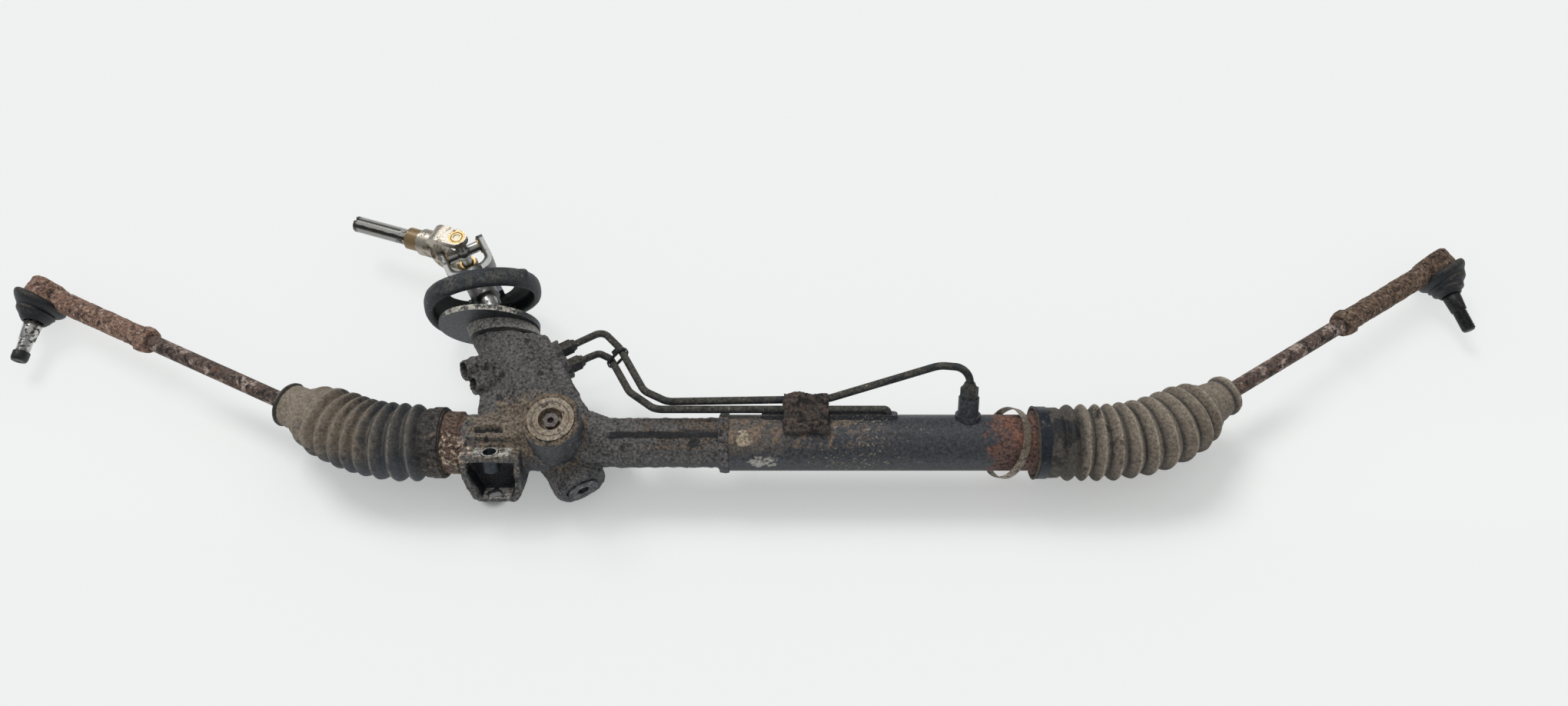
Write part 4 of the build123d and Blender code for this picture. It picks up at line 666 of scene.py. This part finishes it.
class Side:
    """Places and directions of one end: inner ball, tie rod, outer ball and its stud."""

    def __init__(self, name, outward, pivot, swing, length, stud_tilt):
        self.name = name
        self.outward = outward
        self.pivot = Vector((pivot, 0, 0))
        swing, tilt = radians(swing), radians(stud_tilt)
        across = cos(ROD_DROOP)
        self.rod_dir = Vector((outward * cos(swing) * across, sin(swing) * across, -sin(ROD_DROOP)))
        level = Vector((outward * sin(swing), -cos(swing), 0))
        lean = level * cos(STUD_DROOP) + Vector((0, 0, -sin(STUD_DROOP)))
        self.cup_dir = (lean - self.rod_dir * lean.dot(self.rod_dir)).normalized()
        self.ball = self.pivot + self.rod_dir * length + self.cup_dir * BALL_ASIDE
        self.tilt_axis = self.rod_dir.cross(self.cup_dir).normalized()
        self.stud_dir = (self.cup_dir * cos(tilt) + self.rod_dir * -sin(tilt)).normalized()


LEFT = Side("left", -1, -154.5, 25.9, 379.0, 20.0)
RIGHT = Side("right", 1, 488.5, 32.4, 364.0, 18.0)


# Bellows

AROUND = 120  # points round a bellows
RING_STEP = 0.75
WALL = 2.0
ABOVE_FLOOR = 0.4
SLUMP = (17.0, 1.7, 0.55)  # length along, waves round, height
RIPPLE = (5.0, 5.0, 0.18)
CREST_SHIFT = 1.2  # the pale line lies just outside each crest
CREST_WIDE = 1.3
# width of the painted shade in each groove
GROOVE_WIDE = 2.6
EDGE_WIDE = 1.6
SOAKED_FROM, SOAKED_OVER = -38.0, 6.0
FULL_PITCH = 11.0  # folds closer than this are less deep


class Bend:
    """Centre line of a bellows: along the rack, an arc round the inner ball, along the tie rod."""

    def __init__(self, side, reach):
        self.side, self.reach = side, reach
        self.axis = Vector((side.outward, 0, 0))
        self.angle = acos(self.axis.dot(side.rod_dir))
        self.radius = reach / tan(self.angle / 2)
        self.half = self.radius * self.angle / 2
        self.inward = (side.rod_dir - self.axis * self.axis.dot(side.rod_dir)).normalized()

    def at(self, s):
        """Point and direction at a distance s from the middle of the bend."""
        if s < -self.half:
            return self.side.pivot - self.axis * (self.reach - s - self.half), self.axis
        if s > self.half:
            return self.side.pivot + self.side.rod_dir * (self.reach + s - self.half), self.side.rod_dir
        turn = (s + self.half) / self.radius
        point = self.side.pivot - self.axis * self.reach + self.axis * (self.radius * sin(turn))
        point += self.inward * (self.radius * (1 - cos(turn)))
        return point, self.axis * cos(turn) + self.inward * sin(turn)

    def ring(self, s, radius_at):
        """Points round the line at s, in floor millimetres, none of them under the floor."""
        point, direction = self.at(s)
        across = direction.cross(Vector(UP)).normalized()
        upward = across.cross(direction)
        made = []
        for m in range(AROUND):
            angle = 2 * pi * m / AROUND
            one = point + (across * cos(angle) + upward * sin(angle)) * radius_at(s, angle)
            made.append(Vector((one.x, one.y, max(one.z, FLOOR_Z + ABOVE_FLOOR))))
        return made


def folded(profile):
    """Radius along a bellows from (distance, radius, sharpness) of its crests and valleys in turn."""

    def radius(s):
        if s <= profile[0][0]:
            return profile[0][1]
        for (a, ra, pa), (b, rb, pb) in zip(profile, profile[1:]):
            if s <= b:
                t = (s - a) / (b - a)
                rise = 0.5 - 0.5 * cos(pi * t)
                rise = rise**pb if rb > ra else 1 - (1 - rise) ** pa
                return ra + (rb - ra) * rise
        return profile[-1][1]

    return radius


def folds(crests, depth):
    """Profile with a valley half way between crests."""
    made = []
    for (a, ra, pa), (b, rb, pb) in zip(crests, crests[1:]):
        made.append((a, ra, pa))
        made.append(((a + b) / 2, min(ra, rb) - depth * min(1.0, (b - a) / FULL_PITCH), pb))
    made.append(crests[-1])
    return made


LEFT_CRESTS = (
    (-36, 32.2, 0.6), (-23, 32.6, 0.6), (-10, 32.4, 0.6), (2, 32.0, 0.6),
    (12, 31.7, 0.6), (22, 31.5, 0.65), (34, 31.3, 0.7), (47, 30.3, 0.8),
)
LEFT_PROFILE = (
    (-60.5, 28.6, 1.0), (-45.5, 28.6, 1.0), (-42.5, 26.4, 1.0), *folds(LEFT_CRESTS, 5.5),
    (56, 26.6, 1.0), (61, 26.9, 1.0), (68, 22.6, 1.0), (77, 18.6, 1.0), (88, 18.0, 1.0),
    (89.5, 19.4, 0.6), (91, 19.2, 1.0),
)
RIGHT_CRESTS = (
    (-66, 31.8, 0.5), (-54, 32.0, 1.0), (-42, 32.0, 1.0), (-30, 32.0, 0.9), (-17, 32.0, 0.7),
    (-4, 32.0, 0.6), (11, 31.8, 0.6), (27, 31.6, 0.6), (42, 30.6, 0.7), (55, 27.4, 0.8),
)
RIGHT_PROFILE = (
    (-94.5, 30.8, 1.0), (-91.5, 29.2, 1.0), (-75.5, 29.2, 1.0), (-71, 27.6, 1.0), *folds(RIGHT_CRESTS, 5.0),
    (62, 22.6, 1.0), (69, 18.4, 1.0), (84, 16.4, 1.0), (88, 18.2, 0.6), (91, 17.4, 1.0),
)
# Where each length starts and stops, as distances along it; the points made from them are not used
STRETCH = {
    "left": ((-43.0, -4.0), (-4.0, 40.0), (40.0, 84.0)),
    "right": ((-76.0, -4.0), (-4.0, 40.0), (40.0, 78.0)),
}


def bellows_marks(profile):
    """What is painted along a bellows, each a strength from 0 to 1 at a distance s."""
    inner_points = list(zip(profile, profile[1:], profile[2:]))
    crests = [b[0] for a, b, c in inner_points if a[1] < b[1] > c[1]]
    grooves = [b[0] for a, b, c in inner_points if a[1] > b[1] < c[1]]
    edge = profile[-2][0]
    return {
        "crest": lambda s: max(0.0, 1.0 - min(abs(s - c - CREST_SHIFT) for c in crests) / CREST_WIDE),
        # the groove mark is painted shade along each valley between folds
        "groove_shade": lambda s: max(0.0, 1.0 - min(abs(s - g) for g in grooves) / GROOVE_WIDE),
        "edge": lambda s: 1.0 if abs(s - edge) < EDGE_WIDE else 0.0,
        "soaked": lambda s: min(1.0, max(0.0, (SOAKED_FROM - s) / SOAKED_OVER)),
    }


def bellows(side, reach, profile, splits, marks, material):
    """Folded rubber in three lengths, named slide, swing and lift."""
    bend = Bend(side, reach)
    outline = folded(profile)
    strengths = bellows_marks(profile)

    def outer(s, angle):
        made = outline(s)
        for length, waves, high in (SLUMP, RIPPLE):
            made += high * noise.noise(Vector((s / length, cos(angle) * waves, sin(angle) * waves)))
        return made

    def inner(s, angle):
        return outer(s, angle) - WALL

    ends = (profile[0][0], *splits, profile[-1][0])
    for n, name in enumerate(("slide", "swing", "lift")):
        a, b = ends[n], ends[n + 1]
        steps = round((b - a) / RING_STEP)
        places = [a + (b - a) * k / steps for k in range(steps + 1)]
        rings = [bend.ring(s, outer) for s in places] + [bend.ring(s, inner) for s in reversed(places)]
        count = len(places)
        made = ring_shell(
            f"bellows_{side.name}_{name}", [[LEVEL @ p for p in ring] for ring in rings], material,
            closed=True, sharp_rings=(0, count - 1, count, 2 * count - 1),
        )
        for mark in marks:
            values = [strengths[mark](s) for s in places] + [0.0] * count
            paint(made, mark, np.repeat(values, AROUND))
        start, end = (LEVEL @ bend.at(s)[0] for s in STRETCH[side.name][n])
        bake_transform(made)
        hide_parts(f"bellows_{side.name}")


# Dust boots and ball studs

# Radius and height above the ball of the boot's skin, out from the cup and back inside
BOOT_OUTLINES = {
    "left": (
        (18.3, 1.0), (20.8, 0.8), (23.4, 1.8), (24.2, 4.0), (23.4, 6.2), (21.8, 8.4), (19.6, 10.6),
        (17.4, 12.2), (16.6, 13.6), (17.2, 14.8), (16.6, 16.4), (14.8, 17.6), (13.8, 19.4), (12.6, 21.6),
        (11.2, 23.0), (10.4, 24.4), (8.8, 24.6), (7.4, 23.6), (9.6, 19.0), (13.0, 14.6), (17.0, 11.0),
        (18.2, 7.6),
    ),
    "right": (
        (18.3, 1.0), (20.8, 0.6), (22.8, 1.6), (23.4, 4.6), (22.0, 7.6), (19.6, 9.4), (18.4, 11.0),
        (18.2, 14.2), (16.8, 15.6), (14.8, 16.6), (14.2, 18.4), (14.0, 21.0), (12.4, 22.2), (10.4, 22.6),
        (10.0, 25.0), (8.8, 25.8), (7.4, 25.4), (7.3, 22.6), (10.4, 19.0), (13.0, 14.6), (17.0, 11.8),
        (18.2, 7.6),
    ),
}
BOOT_AROUND = 72
BOOT_TURN_FROM, BOOT_TURN_OVER = 8.0, 12.0  # heights over which it turns from the cup's axis to the stud's


def boot(side):
    """Rubber boot: a thick lip round the cup, a folded skirt and a tight collar on the stud."""
    cup = LEVEL @ axes(side.ball, side.rod_dir, side.cup_dir)
    stud_axes = LEVEL @ axes(side.ball, side.tilt_axis, side.stud_dir) @ Matrix.Rotation(pi / 2, 4, "Z")
    rings = []
    for radius, height in BOOT_OUTLINES[side.name]:
        share = min(1.0, max(0.0, (height - BOOT_TURN_FROM) / BOOT_TURN_OVER))
        share = share * share * (3 - 2 * share)
        ring = turned_ring(radius, height, BOOT_AROUND)
        rings.append([lerp(cup @ p, stud_axes @ p, share) for p in ring])
    made = rounded(ring_shell(f"boot_{side.name}", rings, BOOT_RUBBER, closed=True))
    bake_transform(made)
    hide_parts(f"dust_boot_{side.name}")


STUD_AROUND = 48
BALL_R = 12.0
BALL_TOP = 10.0  # the neck starts above it
BALL_STEP = 4  # degrees
BALL_RINGS = 38
# Radius and height above the ball's centre of the shank, the tip and the left stud's cap
STUD_SHANK = ((6.4, 10.4), (6.4, 23.5), (8.0, 24.0), (6.7, 41.6), (5.4, 42.0), (5.4, 43.0))
STUD_TIP = ((5.2, 61.2), (4.6, 62.0), (0.6, 62.0))
THREAD_R = 6.0
THREAD_PITCH = 1.5
THREAD_DEEP = 0.75
THREAD_FROM, THREAD_TO = 43.2, 60.8
RINGS_A_TURN = 8
CAP_OUTLINE = (
    (6.9, 54.0), (7.2, 54.6), (7.1, 60.4), (6.3, 62.6), (4.6, 63.0), (0.5, 63.0),
    (0.5, 62.4), (4.4, 62.4), (6.05, 61.9), (6.3, 54.0),
)


def thread_ring(height):
    """One ring of a rolled thread, cut deeper and shallower as the helix goes round."""
    ring = []
    for m in range(STUD_AROUND):
        phase = (height / THREAD_PITCH - m / STUD_AROUND) % 1.0
        radius = THREAD_R - THREAD_DEEP * (1 - abs(2 * phase - 1))
        angle = 2 * pi * m / STUD_AROUND
        ring.append(Vector((radius * cos(angle), radius * sin(angle), height)))
    return ring


def stud(side, material, capped):
    """Ball stud with its taper and a rolled thread."""
    place = LEVEL @ axes(side.ball, side.tilt_axis, side.stud_dir)
    angles = [radians(180 - BALL_STEP * n) for n in range(BALL_RINGS)]
    ball = [(BALL_R * sin(a), BALL_R * cos(a)) for a in angles if BALL_R * cos(a) < BALL_TOP]
    steps = round((THREAD_TO - THREAD_FROM) / THREAD_PITCH * RINGS_A_TURN)
    rings = [turned_ring(*point, STUD_AROUND) for point in (*ball, *STUD_SHANK)]
    rings += [thread_ring(lerp(THREAD_FROM, THREAD_TO, n / steps)) for n in range(steps + 1)]
    rings += [turned_ring(*point, STUD_AROUND) for point in STUD_TIP]
    made = ring_shell(f"stud_{side.name}_threaded", [[place @ p for p in ring] for ring in rings], material)
    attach(made, f"stud_{side.name}")
    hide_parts(f"ball_stud_{side.name}")
    if capped:
        rings = [[place @ p for p in turned_ring(*point, STUD_AROUND)] for point in CAP_OUTLINE]
        cap = ring_shell(f"stud_{side.name}_cap", rings, STUD_CAP, closed=True)
        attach(cap, f"stud_{side.name}")


# Bulkhead seal

SEAL_CENTRE = Vector((-84.0, 146.5, -9.5))
SEAL_DIR = facing(-13.0, 12.0)
SEAL_AROUND = 144
# Radius and height: outside from bottom to top, across the inner lip, and back down inside
SEAL_OUTLINE = (
    (44.8, -8.2), (47.6, -9.0), (50.2, -8.0), (51.6, -4.0), (51.9, 0.0), (51.6, 3.6), (50.0, 7.2),
    (47.6, 8.8), (43.0, 9.0), (35.0, 8.8), (29.2, 8.4), (28.4, 7.4), (29.4, 6.6), (36.0, 6.4),
    (41.6, 5.6), (43.8, 3.6), (44.6, 0.4), (44.0, -5.0),
)
SEAL_OUTER_RINGS = 9  # the rest of the outline lies inside
SEAL_WAVE, SEAL_LUMP, SEAL_WARP = 0.7, 0.25, 0.8
NUB_ANGLE, NUB_WIDE, NUB_HIGH = radians(148.0), 0.06, 3.0
NUB_OVER, NUB_OUTSIDE = 3.0, 47.0
SAG_ANGLE, SAG = radians(-40.0), 10.0
LIP_R, SKIRT = 36.0, 8.0  # the lip keeps its place while the bead outside it sags


def seal_point(radius, height, angle):
    """Point of the worn ring: wavy, lumpy, with one nub, and sagging at its lower left."""
    wave = noise.noise(Vector((cos(angle) * 1.6, sin(angle) * 1.6, height / 30)))
    lump = noise.noise(Vector((cos(angle) * 7, sin(angle) * 7, height / 6)))
    warp = noise.noise(Vector((cos(angle) * 1.3, sin(angle) * 1.3, 7.0)))
    out = radius + SEAL_WAVE * wave + SEAL_LUMP * lump
    if height > NUB_OVER and radius > NUB_OUTSIDE:
        out += NUB_HIGH * exp(-(((angle - NUB_ANGLE) / NUB_WIDE) ** 2))
    skirt = min(1.0, max(0.0, (radius - LIP_R) / SKIRT))
    up = height + SEAL_WARP * warp - SAG * skirt * max(0.0, cos(angle - SAG_ANGLE)) ** 3
    return Vector((out * cos(angle), out * sin(angle), up))


def seal():
    """Bulkhead seal: an oval-worn rubber ring with a thick bead and an inner lip."""
    place = ROLLED @ axes(SEAL_CENTRE, Vector(UP).cross(SEAL_DIR).normalized(), SEAL_DIR)
    angles = [2 * pi * m / SEAL_AROUND for m in range(SEAL_AROUND)]
    rings = [[place @ seal_point(*point, angle) for angle in angles] for point in SEAL_OUTLINE]
    made = ring_shell("bulkhead_seal_ring", rings, SEAL_RUBBER, closed=True)
    # the rings inside the bead, and the first ring at its bottom, get painted shade
    shaded_faces = [1.0 if n >= SEAL_OUTER_RINGS or n == 0 else 0.0 for n in range(len(rings))]
    paint(made, "inside", np.repeat(shaded_faces, SEAL_AROUND))
    made = rounded(made)
    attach(made, "housing")
    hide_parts("bulkhead_seal")


# Rough surfaces in the mesh of cast and corroded pieces

FLAT = 0.94  # cosine within which a face looks along the bolt
STRIP_LEFT, STRIP_RIGHT, STRIP_BACK = -13.0, 18.0, 6.5  # machined strip about the upper bolt hole
FOOT_FACE_R = 15.5
BORED_R = 26.0  # faces inside this radius that look inward or endways are turned, not cast
BORED_OUTWARD = 0.3
SLOT_AT = (-3.0, 16.0)  # beside and behind the bolt
SLOT_HALF = (11.5, 2.6)
SLOT_OVER = 25.0
SLOT_DEEP = 4.5
SLOT_RAG = 4.0


def vertex_rows(mesh, name):
    """One row of three numbers for each vertex."""
    values = np.empty(len(mesh.vertices) * 3)
    mesh.vertices.foreach_get(name, values)
    return values.reshape(-1, 3)


def rough(points, size):
    """Noise at each point, with lumps about size millimetres across."""
    scale = 1 / (size * MM)
    return np.array([noise.noise(Vector(p) * scale) for p in points])


def bracket_faces(points, normals):
    """Masks of the bracket's machined faces and of the slot in its top."""
    height = points @ np.array(BOLT_DIR) / MM
    behind = points @ np.array(BEHIND_DIR) / MM
    beside = points[:, 0] / MM
    strip = (beside > STRIP_LEFT) & (beside < STRIP_RIGHT) & (behind < STRIP_BACK) & (height > 0)
    foot = (np.hypot(beside, behind) < FOOT_FACE_R) & (height < 0)
    machined = (strip | foot) & (normals @ np.array(BOLT_DIR) > FLAT)
    ragged = rough(points, SLOT_RAG)
    slot = (np.abs(beside - SLOT_AT[0]) < SLOT_HALF[0] + ragged) & (height > SLOT_OVER)
    slot &= np.abs(behind - SLOT_AT[1]) < SLOT_HALF[1] + 2 * ragged
    return machined.astype(float), slot.astype(float)


def bored_faces(points, normals):
    """Mask of the bores round the rack and the steps in them."""
    away = points[:, 1:] - np.array(RACK_AXIS[0])[1:]
    far = np.maximum(np.hypot(away[:, 0], away[:, 1]), MM)
    outward = (normals[:, 1:] * away).sum(axis=1) / far
    return (far < BORED_R * MM) & (outward < BORED_OUTWARD)


def weathered(node, name, body, voxel, lumps, machined=False):
    """A copy of a CAD node with its cast or corroded surface in the mesh. Lumps are (size, height)."""
    made = bpy.data.objects.new(name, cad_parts[node].data.copy())
    bpy.context.scene.collection.objects.link(made)
    grid = made.modifiers.new("grid", "REMESH")
    grid.mode = "VOXEL"
    grid.voxel_size = voxel * MM
    grid.use_smooth_shade = True
    mesh = applied(made).data
    points, normals = vertex_rows(mesh, "co"), vertex_rows(mesh, "normal")
    push = sum(height * MM * rough(points, size) for size, height in lumps)
    if machined:
        bare, dent = bracket_faces(points, normals)
        paint(made, "machined", bare)
        # the slot's mask carries painted shade in the finish as well as the dent
        paint(made, "slot", dent)
        push[(bare > 0) | bored_faces(points, normals)] = 0.0
    points = points + normals * push[:, None]
    if machined:
        points -= np.outer(dent * SLOT_DEEP * MM, np.array(BOLT_DIR))
    mesh.vertices.foreach_set("co", np.clip(points, *inside).reshape(-1))
    mesh.update()
    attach(made, body)
    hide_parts(node)


# Floor, light and camera

FLOOR_HALF = 4.0  # metres
FLOOR_HUE = "#eef0ef"
FLOOR_ROUGH = 0.9
FLOOR_GLOW = 0.33  # paper-white surround, which lifts the soft shadows
FAR_HUE = "#959696"  # away from the rack the floor takes less light and glows more, so shadows end early
FAR_GLOW = 0.77
FAR_ZONE = ("round", *RACK_AXIS, 62.0, 90.0, 0.0)
PAINTED_SHADOW_ZONE = ("near", (-0.0104, 0.008, FLOOR_Z * MM), 9.0, 16.0, 0.0)  # painted shadow: the floor doesn't glow under the bracket's hole
HORIZON, ZENITH = "#8f9192", "#ffffff"
SKY_FULL = 0.95  # height of a direction from which the sky has the zenith's colour
WORLD_LEVEL = 0.55
KEY_FROM = (-0.42, 0.62, 1.0)
KEY_LEVEL = 1.0
KEY_SPREAD = radians(24.0)
CAMERA_AT = (0.2384, -0.4102, 0.8753)
CAMERA_TURN = (radians(31.0), 0.0, 0.0)
LENS, SENSOR = 27.0, 36.0
CLIP_START = 0.02


def build_floor():
    """Matt white floor that glows a little, with a painted shadow under the bracket where it does not glow.
    """
    pale = finish("pale_floor", FLOOR_HUE, FLOOR_ROUGH, layers=((FAR_HUE, FLOOR_ROUGH, *WHOLE, FAR_ZONE),))
    tree = pale.node_tree
    place = add(tree, "ShaderNodeTexCoord", out="Object")
    # no glow in the painted shadow
    lit = zone(tree, place, *PAINTED_SHADOW_ZONE)
    glowing = add(tree, "ShaderNodeMix", {0: zone(tree, place, *FAR_ZONE), 2: FLOOR_GLOW, 3: FAR_GLOW})
    strength = add(tree, "ShaderNodeMath", {0: lit, 1: glowing}, operation="MULTIPLY")
    shader = tree.nodes["Principled BSDF"].inputs
    shader["Emission Color"].default_value = colour(FLOOR_HUE)
    shader["Specular IOR Level"].default_value = 0.0
    tree.links.new(strength, shader["Emission Strength"])
    signs = ((-1, -1), (1, -1), (1, 1), (-1, 1))
    corners = [(x * FLOOR_HALF, y * FLOOR_HALF, FLOOR_Z * MM) for x, y in signs]
    link_mesh("floor", corners, [(0, 1, 2, 3)], pale, smooth=False)


def build_world():
    """Soft studio sky, grey at the horizon and white overhead."""
    world = bpy.data.worlds.new("studio")
    bpy.context.scene.world = world
    world.use_nodes = True
    tree = world.node_tree
    direction = add(tree, "ShaderNodeTexCoord", out="Generated")
    height = add(tree, "ShaderNodeSeparateXYZ", {0: direction}, "Z")
    links = {"Value": height, "From Min": 0.0, "From Max": SKY_FULL}
    share = add(tree, "ShaderNodeMapRange", links, **SMOOTH)
    sky = add(tree, "ShaderNodeMix", {0: share, 6: colour(HORIZON), 7: colour(ZENITH)}, 2, data_type="RGBA")
    background = tree.nodes["Background"].inputs
    tree.links.new(sky, background["Color"])
    background["Strength"].default_value = WORLD_LEVEL


def build_light():
    """One wide soft key from the upper left."""
    lamp = bpy.data.lights.new("key", "SUN")
    lamp.energy = KEY_LEVEL
    lamp.angle = KEY_SPREAD
    made = bpy.data.objects.new("key", lamp)
    made.rotation_euler = (-Vector(KEY_FROM)).to_track_quat("-Z", "Y").to_euler()
    bpy.context.scene.collection.objects.link(made)


def build_camera():
    """The photograph's camera, 59 degrees above the floor."""
    lens = bpy.data.cameras.new("camera")
    lens.lens = LENS
    lens.sensor_width = SENSOR
    lens.sensor_fit = "HORIZONTAL"
    lens.clip_start = CLIP_START
    made = bpy.data.objects.new("camera", lens)
    made.location = CAMERA_AT
    made.rotation_euler = CAMERA_TURN
    bpy.context.scene.collection.objects.link(made)
    bpy.context.scene.camera = made
    bpy.context.scene.view_settings.view_transform = "Standard"


dress_nodes()
bellows(LEFT, 34.0, LEFT_PROFILE, (-3.0, 40.0), ("crest", "edge", "soaked"), LEFT_BELLOWS_RUBBER)
bellows(RIGHT, 45.0, RIGHT_PROFILE, (-10.5, 34.5), ("crest", "groove_shade"), RIGHT_BELLOWS_RUBBER)
boot(LEFT)
boot(RIGHT)
stud(LEFT, BRIGHT_STUD, True)
stud(RIGHT, BLACK_STUD, False)
seal()
weathered(
    "rack_housing", "rack_housing_cast", "housing", 1.1,
    ((9.0, 0.8), (3.6, 0.55), (1.8, 0.25)), machined=True,
)
for end in ("left", "right"):
    weathered(
        f"outer_end_{end}", f"outer_end_{end}_forged", f"tie_rod_{end}", 0.8,
        ((8.0, 0.5), (2.6, 0.35)),
    )
weathered(
    "pipe_clamp", "pipe_clamp_caked", "housing", 0.8,
    ((8.0, 2.0), (3.0, 1.0), (1.6, 0.5)),
)
build_floor()
build_world()
build_light()
build_camera()
